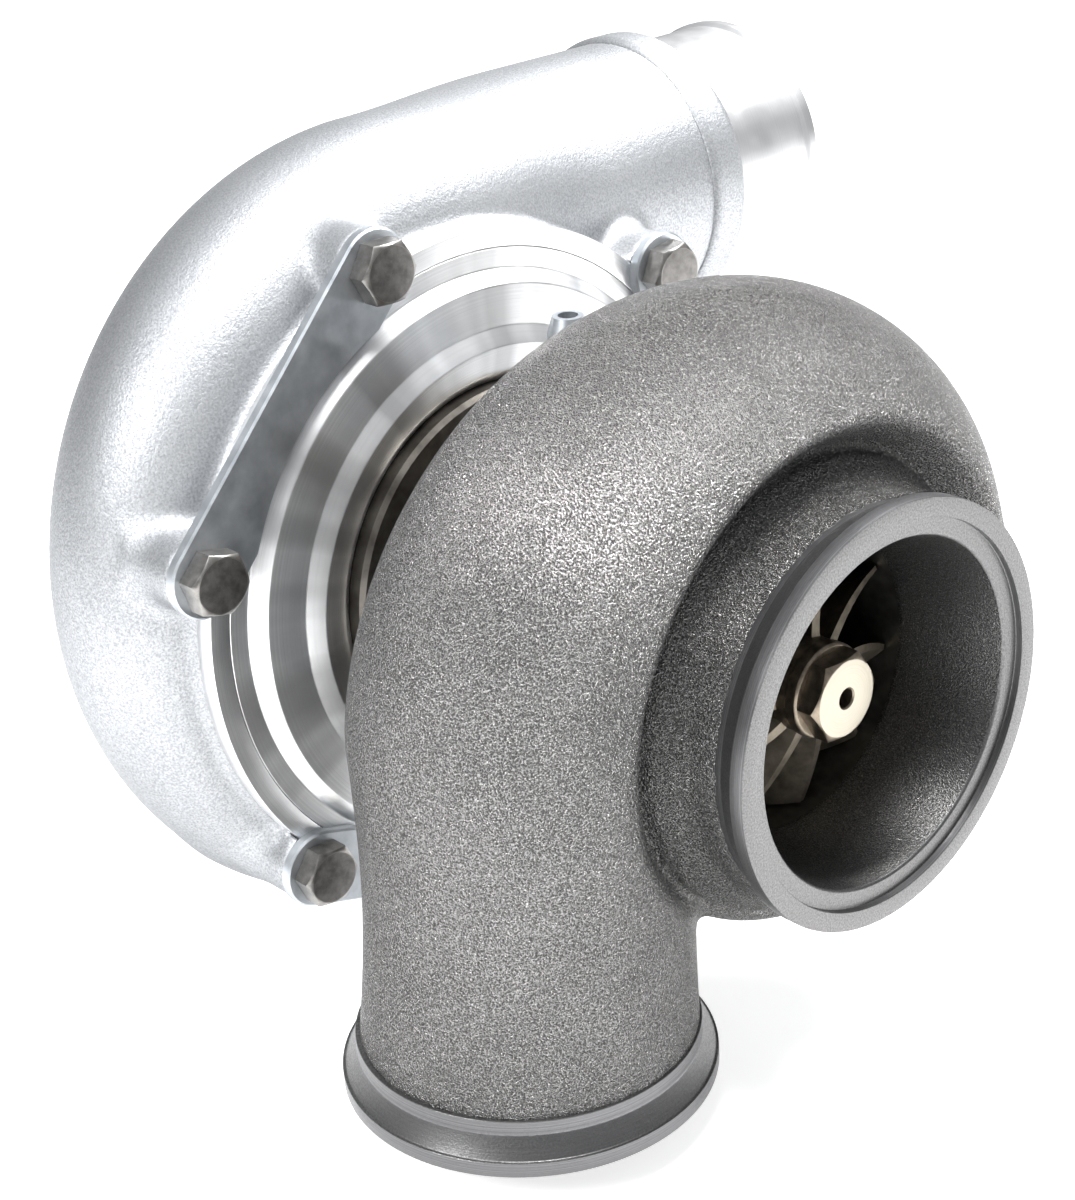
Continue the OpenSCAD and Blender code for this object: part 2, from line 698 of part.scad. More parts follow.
// The scroll: s runs from 0 at the small end to 1 at the top, where the outlet duct begins.
cold_turn = 330;
function cold_angle(s) = 90 + cold_turn * (1 - s);
function cold_a(s) = 9.3 + 18.8 * pow(s, 0.77);
function cold_x(s) = -126.1 - 1.04 * cold_a(s);
function cold_centre(s) = 64.4 + 0.2 * cold_a(s);
function cold_section(s, inset) =
    scroll_ring(cold_angle(s), cold_x(s), cold_centre(s), cold_a(s) - inset);

// The outlet duct bends from the top of the scroll to the outlet's axis over this length.
duct_bend = 60;
duct_cast_r = 34.2;
function duct_t(y) = smooth(min(y / duct_bend, 1));
function cold_duct(y, inset) = ring(
    [mix(cold_x(1), outlet_x, duct_t(y)), y, mix(cold_centre(1), outlet_z, duct_t(y))],
    mix(cold_a(1), duct_cast_r, duct_t(y)) - inset, [1, 0, 0], [0, 0, 1]);

// The duct and the large part of the scroll are one skin, and the small part is another.
module cold_scroll(inset, duct_end) {
    skin([
        for (s = [0.52 : scroll_step : 1.001]) cold_section(s, inset),
        for (y = [10 : 10 : duct_bend]) cold_duct(y, inset),
        cold_duct(duct_end, inset)]);
    skin([for (s = [0 : scroll_step : 0.601]) cold_section(s, inset)]);
}

// The scroll's casting with the rim's disc and the body round the intake.
module cold_shell() {
    disc_r = rim_r - 0.1;
    resize([0, 0, 0]) difference() {
        union() {
            cold_scroll(0, 97);
            mesh_cone(disc_r, -137, disc_r, -124);
            mesh_cone(53, -178, 60, -137);
        }
        difference() {
            cold_scroll(cold_wall, 99);
            mesh_cone(60, -137.5, 60, -118);
            mesh_cone(43, -200, 43, -120);
        }
    }
}

// Cast collar, turned spigot and end lip of the outlet.
module cover_outlet() {
    core_r = 27;
    spigot_r = hose_d / 2;
    translate([outlet_x, 0, outlet_z]) rotate([-90, 0, 0]) rotate_extrude($fn = fine)
        polygon([[core_r, 90], [34.4, 90], [35.6, 92], [35.6, 101], [34.6, 103], [spigot_r, 103.2],
            [spigot_r, spigot_end_y - 3.6], [spigot_r + 1, spigot_end_y - 2.6],
            [spigot_r + 1, spigot_end_y - edge], [spigot_r + 0.6, spigot_end_y],
            [core_r, spigot_end_y]]);
}

// Body, turned spigot and end lip of the intake.
module cover_intake() {
    core_r = 30;
    spigot_r = intake_d / 2;
    lathe([[core_r, -170], [58, -170], [56, -182], [spigot_r + 2.4, -186], [spigot_r, -188],
        [spigot_r, 4 - intake_back], [spigot_r + 1, 3 - intake_back],
        [spigot_r + 1, 0.6 - intake_back], [spigot_r + 0.4, -intake_back], [core_r, -intake_back]]);
}

// The bore that the compressor wheel turns in, with the diffuser and the intake bell.
module cover_bore() {
    bore_r = intake_bore_d / 2;
    diffuser_r = 62.5;
    lathe(concat(
        [[0, -intake_back - past], [bore_r, -intake_back - past], [bore_r, -196], [44, -188],
            [38, -180], [33, -174], [inducer_d / 2 + cold_gap, -168]],
        [for (p = tip_line_cold) [p[0] + cold_gap, p[1] - cold_gap]],
        [[diffuser_r, shroud_x], [diffuser_r, diffuser_x], [cover_bore_r, diffuser_x],
            [cover_bore_r, -110], [0, -110]]));
}

// Two angles, half a plate's span to each side of its centre.
function bolt_pair(centre) = [centre - plate_span / 2, centre + plate_span / 2];
plate_centres = [upper_plate_angle, lower_plate_angle, side_plate_angle];
cover_bolt_angles = [for (c = plate_centres) each bolt_pair(c)];
cover_bolt_turns = [29, 16, 24, 8, 51, 37];     // how each hexagon stands once tightened
cover_bolt_r = cover_bolt_circle / 2;

module compressor_housing() {
    rim_inner_r = cover_bore_r - 3;
    placed() color(aluminium) difference() {
        union() {
            cold_shell();
            lathe([[rim_inner_r, cold_face_x], [rim_r - edge, cold_face_x], [rim_r, cold_face_x - edge],
                [rim_r, rim_back_x], [rim_inner_r, rim_back_x]]);
            for (a = cover_bolt_angles)
                polar(a, cover_bolt_r, 0) along_x(bolt_pad_d, cold_face_x, -135.5);
            cover_outlet();
            cover_intake();
        }
        cover_bore();
        translate([outlet_x, 88, outlet_z]) rotate([-90, 0, 0])
            cylinder(d = hose_bore_d, h = 60, $fn = fine);
        for (a = cover_bolt_angles)
            polar(a, cover_bolt_r, 0) along_x(m8_bolt[2], cold_face_x + past, -132.3);
    }
}

// A plate that spans two bolts: straight outside, round at the ends and hollow towards the shaft.
module clamp_plate(centre) {
    end_r = 9;
    hollow_r = 68.4;
    reach = cover_bolt_r * cos(plate_span / 2);
    half = cover_bolt_r * sin(plate_span / 2);
    placed() color(zinc) rotate([centre, 0, 0]) translate([cold_face_x, 0, 0]) rotate([90, 0, 90])
        linear_extrude(plate_t) difference() {
            union() {
                for (side = [-1, 1]) translate([reach, side * half]) circle(r = end_r, $fn = fine);
                translate([reach - end_r, -half]) square([2 * end_r, 2 * half]);
            }
            circle(r = hollow_r, $fn = fine);
            for (side = [-1, 1]) translate([reach, side * half]) circle(d = m8_hole_d, $fn = fine);
        }
}

module clamp_plate_upper() {
    clamp_plate(plate_centres[0]);
}

module clamp_plate_lower() {
    clamp_plate(plate_centres[1]);
}

module clamp_plate_side() {
    clamp_plate(plate_centres[2]);
}

module cover_bolts() {
    placed() color(steel) for (i = [0 : len(cover_bolt_angles) - 1])
        polar(cover_bolt_angles[i], cover_bolt_r, cold_face_x + plate_t)
            rotate([cover_bolt_turns[i], 0, 0]) hex_bolt(m8_bolt);
}

turbine_housing();
turbine_clamp_plates();
turbine_housing_bolts();
heat_shield();
bearing_housing();
oil_inlet_fitting();
oil_inlet_washer();
journal_bearing_turbine();
journal_bearing_compressor();
bearing_snap_rings();
turbine_wheel_and_shaft();
piston_ring_turbine();
thrust_collar();
thrust_bearing();
thrust_bearing_screws();
oil_deflector();
piston_ring_compressor();
compressor_backplate();
backplate_o_ring();
center_housing_o_ring();
backplate_bolts();
compressor_wheel();
compressor_nut();
compressor_housing();
clamp_plate_upper();
clamp_plate_lower();
clamp_plate_side();
cover_bolts();
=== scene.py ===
"""Looks for the turbocharger: castings, turned metal, wheels, fasteners, materials, light, camera.

Shapes are drawn in millimetres about the shaft, with x = 0 at the turbine outlet's face, +X out of
the turbine outlet and +Z up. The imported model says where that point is.
"""

import json
import math

import bpy
import numpy as np
import openvdb
from mathutils import Matrix, Vector


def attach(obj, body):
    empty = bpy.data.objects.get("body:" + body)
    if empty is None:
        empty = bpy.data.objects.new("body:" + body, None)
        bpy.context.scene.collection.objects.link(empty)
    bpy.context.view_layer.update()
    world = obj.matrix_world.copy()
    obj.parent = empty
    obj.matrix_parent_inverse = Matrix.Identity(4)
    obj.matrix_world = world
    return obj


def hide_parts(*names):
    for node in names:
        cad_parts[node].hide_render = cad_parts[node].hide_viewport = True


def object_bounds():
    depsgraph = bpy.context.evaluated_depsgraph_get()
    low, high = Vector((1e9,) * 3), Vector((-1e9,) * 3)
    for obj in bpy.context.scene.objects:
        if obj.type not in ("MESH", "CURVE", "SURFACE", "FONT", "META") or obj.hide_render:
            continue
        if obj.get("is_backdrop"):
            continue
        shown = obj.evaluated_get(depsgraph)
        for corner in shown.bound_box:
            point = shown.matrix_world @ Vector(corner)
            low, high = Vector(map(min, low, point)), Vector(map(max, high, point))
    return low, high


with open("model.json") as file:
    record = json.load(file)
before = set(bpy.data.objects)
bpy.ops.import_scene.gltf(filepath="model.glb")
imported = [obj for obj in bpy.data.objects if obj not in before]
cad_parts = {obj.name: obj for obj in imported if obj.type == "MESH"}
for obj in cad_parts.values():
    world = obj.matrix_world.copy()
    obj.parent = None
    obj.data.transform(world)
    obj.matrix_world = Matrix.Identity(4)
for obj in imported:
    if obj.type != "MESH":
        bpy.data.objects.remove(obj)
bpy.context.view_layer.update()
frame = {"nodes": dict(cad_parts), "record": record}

MM = 0.001
MOUNTS = {mount["name"]: mount for mount in frame["record"]["mounts"]}
SHAFT = Vector(MOUNTS["turbine_outlet"]["pos_m"])


def bore(name):
    """The radius of a mount's bore in millimetres."""
    return MOUNTS[name]["dims"]["r_mm"]


def about_shaft(name):
    """A mount's place in millimetres about the shaft."""
    return (Vector(MOUNTS[name]["pos_m"]) - SHAFT) / MM


# ---- driving dimensions, in millimetres; an _X is a station along the shaft ----

# V-band flanges
REGISTER = 1.6  # depth of the registers
OUTLET_R = bore("turbine_outlet") + 4.2
OUTLET_BORE_R = 36.75
OUTLET_NECK_R = 42.4
OUTLET_NECK_DEPTH = 9.6
INLET_R = bore("turbine_inlet") + 8.25
INLET = about_shaft("turbine_inlet") - Vector((0, 0, REGISTER))
INLET_REGISTER_R = 36
INLET_CAST_R = 36.4  # cast neck that the inlet flange is turned on
INLET_NECK_R = INLET_CAST_R + 0.3
INLET_NECK_DEPTH = 11
FLANGE_LIP = 3.4  # straight rim
FLANGE_CONE = 4.4  # length of the cone behind the rim

# Turbine housing
HOT_WALL = 5
HOT_FACE_X = -76  # face behind which the bearing housing is clamped
HOT_PAD_R = 56  # pad that the clamp bolts screw into
HOT_POCKET_R = 57.5  # relief round the clamp plates
HOT_SEAT_R = 43.5  # seat of the bearing housing
HOT_CORE_R = 45  # body between the scroll and the wheel
HOT_CORE_X = -62
HOT_GUARD_R = HOT_CORE_R - 2  # the gas passage stays outside this
NOZZLE_R = 58  # where the nozzle slot opens into the scroll
NOZZLE_FRONT_X = -48.5
NOZZLE_BACK_X = -58.5
EXDUCER_R = 32.1  # the turbine blades' outlet end
EXDUCER_X = -24.8  # where the outlet cone meets the wheel's bore

# Compressor housing
COLD_WALL = 4
COVER_X = -121.8  # the cover's face, under the clamp plates
COVER_RIM_R = 77.4
COVER_BORE_R = 72.5
SHROUD_X = -133  # wall of the diffuser in the cover
DIFFUSER_X = -128  # wall of the diffuser on the backplate
HOSE_R = bore("compressor_outlet") + 3.15
HOSE = about_shaft("compressor_outlet")
HOSE_END = 133
SPIGOT_ROOT = 90
INTAKE_R = bore("compressor_inlet") + 4
INTAKE_END = -214
INTAKE_ROOT = -187

# Clamp plates and their bolts; angles in degrees
BOLT_R = 80.8
BOLT_PAD_R = 8.4
FLATS = 13  # across the flats of a bolt's head
HEAD_HEIGHT = 5.3
BOLT_TURNS = (29, 16, 24, 8, 51, 37)
PLATE_T = 2.8
PLATE_SPAN = 54.7  # from one bolt of a plate to the other
PLATE_CENTRES = (136.5, 252, 15.2)

# Wheels
TURBINE_R = 35
TURBINE_BLADES = 10
NOSE_FLATS = 17
NOSE_FACE_R = 8.2
NOSE_HEIGHT = 4.9
NOSE_HOLE_R = 2.1
NOSE_BACK_X = -17.6
NOSE_TURN = 32
COMPRESSOR_R = 42
INDUCER_R = 31  # the compressor blades' inlet end
COMPRESSOR_BLADES = 12
COMPRESSOR_BORE_R = 4.02
COMPRESSOR_LEAN = 1.2  # bends the wheel's lines later than a quarter circle

# Camera, in degrees and millimetres, and lights, in metres about the shaft and watts
CAMERA_AZIMUTH = 48.27
CAMERA_ELEVATION = 24.88
CAMERA_ROLL = 3.5
CAMERA_PLACE = (265.8, -329.9, 224.2)
CAMERA_LENS = 72
LIT_POINT = (-0.05, 0, 0)
LIGHTS = (  # name, place, size and power
    ("overhead", (0.1, -0.2, 1.1), 0.3, 13),
    ("front", (-0.1, -0.9, 0.6), 0.25, 6),
    ("back", (-0.05, 0.62, 0.9), 0.3, 22),
)
FLOOR_REACH = 40.0


# ---- lines and curves ----


def mix(a, b, t):
    """A value part of the way from a to b."""
    return a + (b - a) * t


def steps(start, end, count):
    """Evenly spaced values from start to end."""
    return [mix(start, end, i / (count - 1)) for i in range(count)]


def elbow(start, end, power, count):
    """A line of [radius, x] points that leaves its start along the shaft and ends square to it."""
    points = []
    for t in steps(0, 1, count):
        fall = 1 - math.cos(math.pi / 2 * t) ** power if t < 1 else 1
        rise = math.sin(math.pi / 2 * t) ** power
        points.append((mix(start[0], end[0], fall), mix(start[1], end[1], rise)))
    return points


def around(angle, radius):
    """Y and Z at an angle in degrees and a radius about the shaft."""
    return radius * math.cos(math.radians(angle)), radius * math.sin(math.radians(angle))


# ---- mesh helpers ----


def new_object(name, verts, faces, body, material, matrix=None, sharp=32):
    """A smooth-shaded mesh from points in millimetres, riding on a body."""
    mesh = bpy.data.meshes.new(name)
    mesh.from_pydata([tuple(float(c) * MM for c in v) for v in verts], [], faces)
    mesh.validate()
    mesh.polygons.foreach_set("use_smooth", [True] * len(mesh.polygons))
    mesh.set_sharp_from_angle(angle=math.radians(sharp))
    mesh.materials.append(material)
    piece = bpy.data.objects.new(name, mesh)
    bpy.context.scene.collection.objects.link(piece)
    piece.matrix_world = matrix or Matrix.Translation(SHAFT)
    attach(piece, body)
    return piece


def facing(axis, centre=(0, 0, 0)):
    """A placement whose local Z runs along an axis from a point in millimetres about the shaft."""
    turn = Vector((0, 0, 1)).rotation_difference(Vector(axis)).to_matrix().to_4x4()
    return Matrix.Translation(SHAFT + Vector(centre) * MM) @ turn


def softened(profile, radius, parts=3):
    """A closed profile with its corners rounded to a radius, or less where an edge is short."""
    points = [Vector(p) for p in profile]
    rounded = []
    for i, corner in enumerate(points):
        before = points[i - 1] - corner
        after = points[(i + 1) % len(points)] - corner
        cut = min(radius, before.length * 0.45, after.length * 0.45)
        start = corner + before.normalized() * cut
        end = corner + after.normalized() * cut
        for k in range(parts + 1):
            t = k / parts
            rounded.append(start.lerp(corner, t).lerp(corner.lerp(end, t), t))
    return rounded


def ring_faces(rings, count, start=0):
    """Faces that join each closed row of points to the next, and the last to the first."""
    faces = []
    for i in range(rings):
        a = start + i * count
        b = start + (i + 1) % rings * count
        faces += [(a + j, b + j, b + (j + 1) % count, a + (j + 1) % count) for j in range(count)]
    return faces


def stack_faces(rows, count):
    """Faces that join each closed row of points to the next, with a cap at each end."""
    last = (rows - 1) * count
    faces = [tuple(range(count)), tuple(range(last, last + count))[::-1]]
    for row in range(rows - 1):
        a, b = row * count, (row + 1) * count
        faces += [(a + i, b + i, b + (i + 1) % count, a + (i + 1) % count) for i in range(count)]
    return faces


def lathe(name, profile, body, material, matrix, soft=0.25, sides=192):
    """A closed [radius, height] profile turned about the placement's Z."""
    points = softened(profile, soft)
    angles = [2 * math.pi * i / sides for i in range(sides)]
    verts = [(r * math.cos(a), r * math.sin(a), h) for a in angles for r, h in points]
    faces = ring_faces(sides, len(points))
    return new_object(name, verts, outward(verts, faces), body, material, matrix)


def outward(verts, faces):
    """Turns all the faces over if the closed mesh that they make is inside-out."""
    volume = 0.0
    for face in faces:
        a = Vector(verts[face[0]])
        for k in range(1, len(face) - 1):
            volume += a.dot(Vector(verts[face[k]]).cross(Vector(verts[face[k + 1]])))
    return faces if volume > 0 else [tuple(reversed(face)) for face in faces]


ALONG_SHAFT = facing((1, 0, 0))


def turned(name, profile, body, material, soft=0.25):
    """A [radius, x] profile turned about the shaft."""
    return lathe(name, profile, body, material, ALONG_SHAFT, soft)


# ---- distance fields for the castings ----

FAR = 20.0
SPACING = 1.0


class Space:
    """A box of evenly spaced points about the shaft, in millimetres."""

    def __init__(self, low, high):
        self.low = low
        axes = [np.arange(a, b, SPACING, dtype=np.float32) for a, b in zip(low, high)]
        self.axes = axes
        self.x, self.y, self.z = np.meshgrid(*axes, indexing="ij", sparse=True)
        self.shape = tuple(len(axis) for axis in axes)

    def window(self, centre, reach):
        """The slices of the box that lie within reach of a point."""
        return tuple(
            slice(*np.searchsorted(axis, (c - reach, c + reach)))
            for axis, c in zip(self.axes, centre)
        )


def swept(space, path, band=8.0):
    """Distance to a ball that follows a path of (centre, radius)."""
    field = np.full(space.shape, FAR, np.float32)
    for centre, radius in path:
        cut = space.window(centre, radius + band)
        x, y, z = space.x[cut[0]], space.y[:, cut[1]], space.z[:, :, cut[2]]
        gap = np.sqrt((x - centre[0]) ** 2 + (y - centre[1]) ** 2 + (z - centre[2]) ** 2) - radius
        np.minimum(field[cut], gap, out=field[cut])
    return field


def profile_distance(profile, r, x):
    """Distance from points (r, x) to a closed [radius, x] profile, negative inside."""
    nearest = np.full(np.broadcast(r, x).shape, np.inf)
    inside = np.zeros(nearest.shape, bool)
    for (r0, x0), (r1, x1) in zip(profile, profile[1:] + profile[:1]):
        er, ex = r1 - r0, x1 - x0
        t = np.clip(((r - r0) * er + (x - x0) * ex) / (er * er + ex * ex), 0, 1)
        nearest = np.minimum(nearest, (r - r0 - t * er) ** 2 + (x - x0 - t * ex) ** 2)
        if ex:
            crosses = (x0 <= x) != (x1 <= x)
            inside ^= crosses & (r < r0 + er * (x - x0) / ex)
    return np.where(inside, -1, 1) * np.sqrt(nearest)


def spun(space, profile):
    """Distance to a [radius, x] profile turned about the shaft."""
    radius = np.sqrt(space.y**2 + space.z**2)[0]
    radii = np.arange(0, radius.max() + 1, 0.25)
    table = profile_distance(profile, radii[None, :], space.axes[0][:, None])
    return np.stack([np.interp(radius, radii, row) for row in table]).astype(np.float32)


def drum(space, radius, back, front):
    """Distance to a cylinder about the shaft, from its back to its front."""
    return spun(space, [(0, back), (radius, back), (radius, front), (0, front)])


def without(field, *others):
    """The shape of a field with other shapes cut out of it, with sharp edges."""
    for other in others:
        field = np.maximum(field, -other)
    return field


def rod(space, axis, centre, radius, start, end):
    """Distance to a cylinder along an axis, 0 to 2, through a centre, from start to end."""
    coordinates = [space.x, space.y, space.z]
    along = coordinates[axis]
    across = [(coordinates[i] - centre[i]) ** 2 for i in range(3) if i != axis]
    radial = np.sqrt(across[0] + across[1]) - radius
    return np.maximum(radial, np.maximum(start - along, along - end)).astype(np.float32)


def join(a, b, fillet):
    """The union of two shapes, with a fillet where they meet."""
    t = np.clip(0.5 + 0.5 * (b - a) / fillet, 0, 1)
    return b + (a - b) * t - fillet * t * (1 - t)


def cut_out(a, b, fillet):
    """The first shape less the second, with a rounded edge."""
    return -join(-a, b, fillet)


def cast(name, space, field, body, material, node):
    """The surface of a distance field, as a piece that stands for a CAD node."""
    grid = openvdb.FloatGrid(FAR)
    grid.copyFromArray(np.ascontiguousarray(field, np.float32))
    points, _, quads = grid.convertToPolygons(isovalue=0.0, adaptivity=0.0)
    verts = points * SPACING + np.array(space.low)
    faces = [tuple(int(i) for i in quad) for quad in quads]
    piece = new_object(name, verts, outward(verts.tolist(), faces), body, material, sharp=50)
    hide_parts(node)
    return piece


# ---- node helpers ----


class Recipe:
    """A material under construction: add() makes a node and links or sets its inputs."""

    def __init__(self, name):
        self.material = bpy.data.materials.new(name)
        self.material.use_nodes = True
        self.tree = self.material.node_tree
        self.shader = self.tree.nodes["Principled BSDF"]
        self.place = self.add("ShaderNodeTexCoord").outputs["Object"]

    def add(self, kind, inputs=(), **settings):
        """A new node with its settings, and with its inputs linked or set."""
        node = self.tree.nodes.new(kind)
        for key, value in settings.items():
            setattr(node, key, value)
        self.fill(node, dict(inputs))
        return node

    def fill(self, node, inputs):
        """Links the inputs that are sockets and sets those that are values."""
        for key, value in inputs.items():
            socket = node.inputs[key]
            if isinstance(value, bpy.types.NodeSocket):
                self.tree.links.new(value, socket)
            else:
                socket.default_value = value

    def math(self, operation, a, b=0.0):
        """The result of a Math node."""
        return self.add("ShaderNodeMath", {0: a, 1: b}, operation=operation).outputs[0]

    def mottled(self, grain, patch, depth):
        """A fine grain that drifts lighter and darker by patches of a size in millimetres."""
        drift = self.math("SUBTRACT", self.noise(patch), 0.5)
        return self.math("ADD", grain, self.math("MULTIPLY", drift, depth))

    def noise(self, size, detail=2.0, roughness=0.5):
        """Noise whose features measure about size millimetres."""
        scale = 1 / (size * MM)
        inputs = {"Vector": self.place, "Scale": scale, "Detail": detail, "Roughness": roughness}
        return self.add("ShaderNodeTexNoise", inputs).outputs["Fac"]

    def ramp(self, value, low, high, start, end):
        """Maps value from low..high to start..end, clamped."""
        inputs = {"Value": value, "From Min": low, "From Max": high, "To Min": start, "To Max": end}
        return self.add("ShaderNodeMapRange", inputs).outputs["Result"]

    def colour(self, factor, a, b):
        """Mixes two colours, each of them a socket or red, green and blue."""
        a, b = (c if isinstance(c, bpy.types.NodeSocket) else (*c, 1) for c in (a, b))
        return self.add("ShaderNodeMix", {0: factor, 6: a, 7: b}, data_type="RGBA").outputs[2]

    def bump(self, height, strength, depth, under=None):
        """Bump of a depth in millimetres, on top of another bump."""
        inputs = {"Height": height, "Strength": strength, "Distance": depth * MM}
        if under:
            inputs["Normal"] = under
        return self.add("ShaderNodeBump", inputs).outputs["Normal"]

    def part_of_place(self, mask):
        """The place on the piece with the axes where the mask is nought left out."""
        node = self.add("ShaderNodeVectorMath", {0: self.place, 1: mask}, operation="MULTIPLY")
        return node.outputs[0]

    def distance(self, mask):
        """Distance from the piece's own origin along the mask's axes, in metres."""
        inputs = {0: self.part_of_place(mask)}
        return self.add("ShaderNodeVectorMath", inputs, operation="LENGTH").outputs["Value"]

    def ring_radius(self):
        """Distance from the piece's own Z axis, in millimetres."""
        return self.math("DIVIDE", self.distance((1, 1, 0)), MM)

    def height(self):
        """Height along the piece's own Z axis, in millimetres."""
        split = self.add("ShaderNodeSeparateXYZ", {0: self.place})
        return self.math("DIVIDE", split.outputs["Z"], MM)

    def flat_faces(self):
        """One on faces that stand square to the piece's own Z axis and nought on its walls."""
        normal = self.add("ShaderNodeTexCoord").outputs["Normal"]
        up = self.add("ShaderNodeSeparateXYZ", {0: normal}).outputs["Z"]
        return self.ramp(self.math("ABSOLUTE", up), 0.35, 0.65, 0.0, 1.0)

    def sheen_rays(self):
        """Soft light and dark rays that fan out from the piece's own Z axis: a painted reflection that
        stands in for the fan-shaped sheen of turned metal.
        """
        across = {0: self.part_of_place((1, 1, 0))}
        spoke = self.add("ShaderNodeVectorMath", across, operation="NORMALIZE")
        inputs = {"Vector": spoke.outputs[0], "Scale": 3.4, "Detail": 2.0, "Roughness": 0.6}
        return self.add("ShaderNodeTexNoise", inputs).outputs["Fac"]

    def near_outlet(self):
        """One on the turbine outlet's neck and nought beyond 51 mm of the shaft or behind x = -27; it
        marks where the casting is darkened, partly for its darker rough neck and partly as painted shade.
        """
        along = self.add("ShaderNodeSeparateXYZ", {0: self.place}).outputs["X"]
        close = self.ramp(self.distance((0, 1, 1)), 47 * MM, 51 * MM, 1.0, 0.0)
        return self.math("MULTIPLY", close, self.ramp(along, -27 * MM, -22 * MM, 0.0, 1.0))

    def tool_marks(self, pitch):
        """Fine rings about the piece's axis, on its faces and on its walls."""
        along = self.math("ADD", self.ring_radius(), self.math("MULTIPLY", self.height(), 1.37))
        scaled = self.math("DIVIDE", along, pitch)
        inputs = {"W": scaled, "Scale": 1.0, "Detail": 3.0, "Roughness": 0.7}
        return self.add("ShaderNodeTexNoise", inputs, noise_dimensions="1D").outputs["Fac"]

    def finish(self, **inputs):
        """Fills the shader's inputs, with _ for a space in their names, and hands over the material."""
        self.fill(self.shader, {key.replace("_", " "): value for key, value in inputs.items()})
        return self.material


# ---- materials ----


# Colour of the outlet's neck, partly its darker rough surface and partly painted shade
DARK_NECK_AND_SHADE = (0.03, 0.03, 0.029)
# Near-white of the specks: painted highlights that stand in for the sparkle of the grit
PAINTED_GLINT = (0.8, 0.79, 0.77)


def sand_casting(name, dark, light, grit=0.4, rough=0.27, relief=0.6, neck=0.0):
    """Grey, gritty cast metal with bright specks of painted glint; round the outlet's neck it can be
    darker, partly a darker rough surface and partly painted shade.
    """
    recipe = Recipe(name)
    grain = recipe.noise(grit, 2.0, 0.6)
    lumps = recipe.noise(grit * 2, 2.0)
    # Bright specks painted into the base colour as glints, a painted highlight
    specks = recipe.ramp(recipe.noise(grit * 0.8, 1.0), 0.6, 0.68, 0.0, 0.25)
    tone = recipe.mottled(grain, 34.0, 0.12)
    colour = recipe.colour(recipe.ramp(tone, 0.42, 0.6, 0.0, 1.0), dark, light)
    # Darkens the neck: partly its darker, rougher surface and partly painted shade from the flange and
    # scroll
    if neck:
        shade = recipe.math("MULTIPLY", recipe.near_outlet(), neck)
        colour = recipe.colour(shade, colour, DARK_NECK_AND_SHADE)
    colour = recipe.colour(specks, colour, PAINTED_GLINT)
    surface = recipe.bump(lumps, 1.0, relief)
    surface = recipe.bump(grain, 1.0, relief, surface)
    return recipe.finish(
        Base_Color=colour, Metallic=0.95, Specular_Tint=(0.35, 0.35, 0.35, 1), Normal=surface,
        Roughness=recipe.ramp(grain, 0.35, 0.65, rough + 0.12, rough - 0.1),
    )


def blasted_aluminium(name, dark, light):
    """Bright cast aluminium with the fine grain that bead blasting leaves."""
    recipe = Recipe(name)
    grain = recipe.noise(0.5, 2.0, 0.6)
    lumps = recipe.noise(1.6, 2.0)
    tone = recipe.mottled(grain, 26.0, 0.2)
    colour = recipe.colour(recipe.ramp(tone, 0.35, 0.65, 0.0, 1.0), dark, light)
    surface = recipe.bump(lumps, 0.6, 0.16)
    surface = recipe.bump(grain, 0.8, 0.12, surface)
    return recipe.finish(
        Base_Color=colour, Metallic=0.95, Roughness=recipe.ramp(grain, 0.3, 0.7, 0.58, 0.46),
        Specular_Tint=(0.5, 0.5, 0.5, 1), Normal=surface,
    )


def scaled(colour, factor):
    """A colour made darker or lighter by a factor."""
    return tuple(factor * c for c in colour)


def turned_metal(name, colour, rough, pitch=0.32, sheen_rays=0.0):
    """Machined metal with fine rings about the piece's own axis, and with dark rays of painted reflection
    if asked.
    """
    recipe = Recipe(name)
    marks = recipe.tool_marks(pitch)
    smudge = recipe.noise(9.0, 3.0)
    tone = recipe.colour(recipe.ramp(marks, 0.3, 0.7, 0.0, 1.0), scaled(colour, 0.86), colour)
    if sheen_rays:
        # Painted reflection: darker fans about the axis stand in for the sheen of the turned rings
        dim = recipe.ramp(recipe.sheen_rays(), 0.42, 0.58, sheen_rays, 0.0)
        tone = recipe.colour(dim, tone, scaled(colour, 0.5))
    gloss = recipe.math("ADD", recipe.ramp(smudge, 0.3, 0.7, -0.035, 0.05), rough)
    return recipe.finish(
        Base_Color=tone, Metallic=1.0, Roughness=gloss, Normal=recipe.bump(marks, 0.5, 0.012)
    )


def flange_metal(name, face, wall, rough):
    """Turned cast iron: fine bright grain on the faces, darker rings on the walls."""
    recipe = Recipe(name)
    grain = recipe.noise(0.4, 2.0, 0.6)
    marks = recipe.tool_marks(0.45)
    flat = recipe.flat_faces()
    faces = recipe.colour(recipe.ramp(grain, 0.35, 0.65, 0.0, 1.0), scaled(face, 0.62), face)
    walls = recipe.colour(recipe.ramp(marks, 0.35, 0.65, 0.0, 1.0), scaled(wall, 0.6), wall)
    gloss = recipe.math("ADD", recipe.ramp(grain, 0.35, 0.65, 0.08, -0.08), rough)
    surface = recipe.bump(marks, 0.5, 0.02)
    surface = recipe.bump(grain, 0.6, 0.06, surface)
    return recipe.finish(
        Base_Color=recipe.colour(flat, walls, faces), Metallic=0.95, Roughness=gloss, Normal=surface
    )


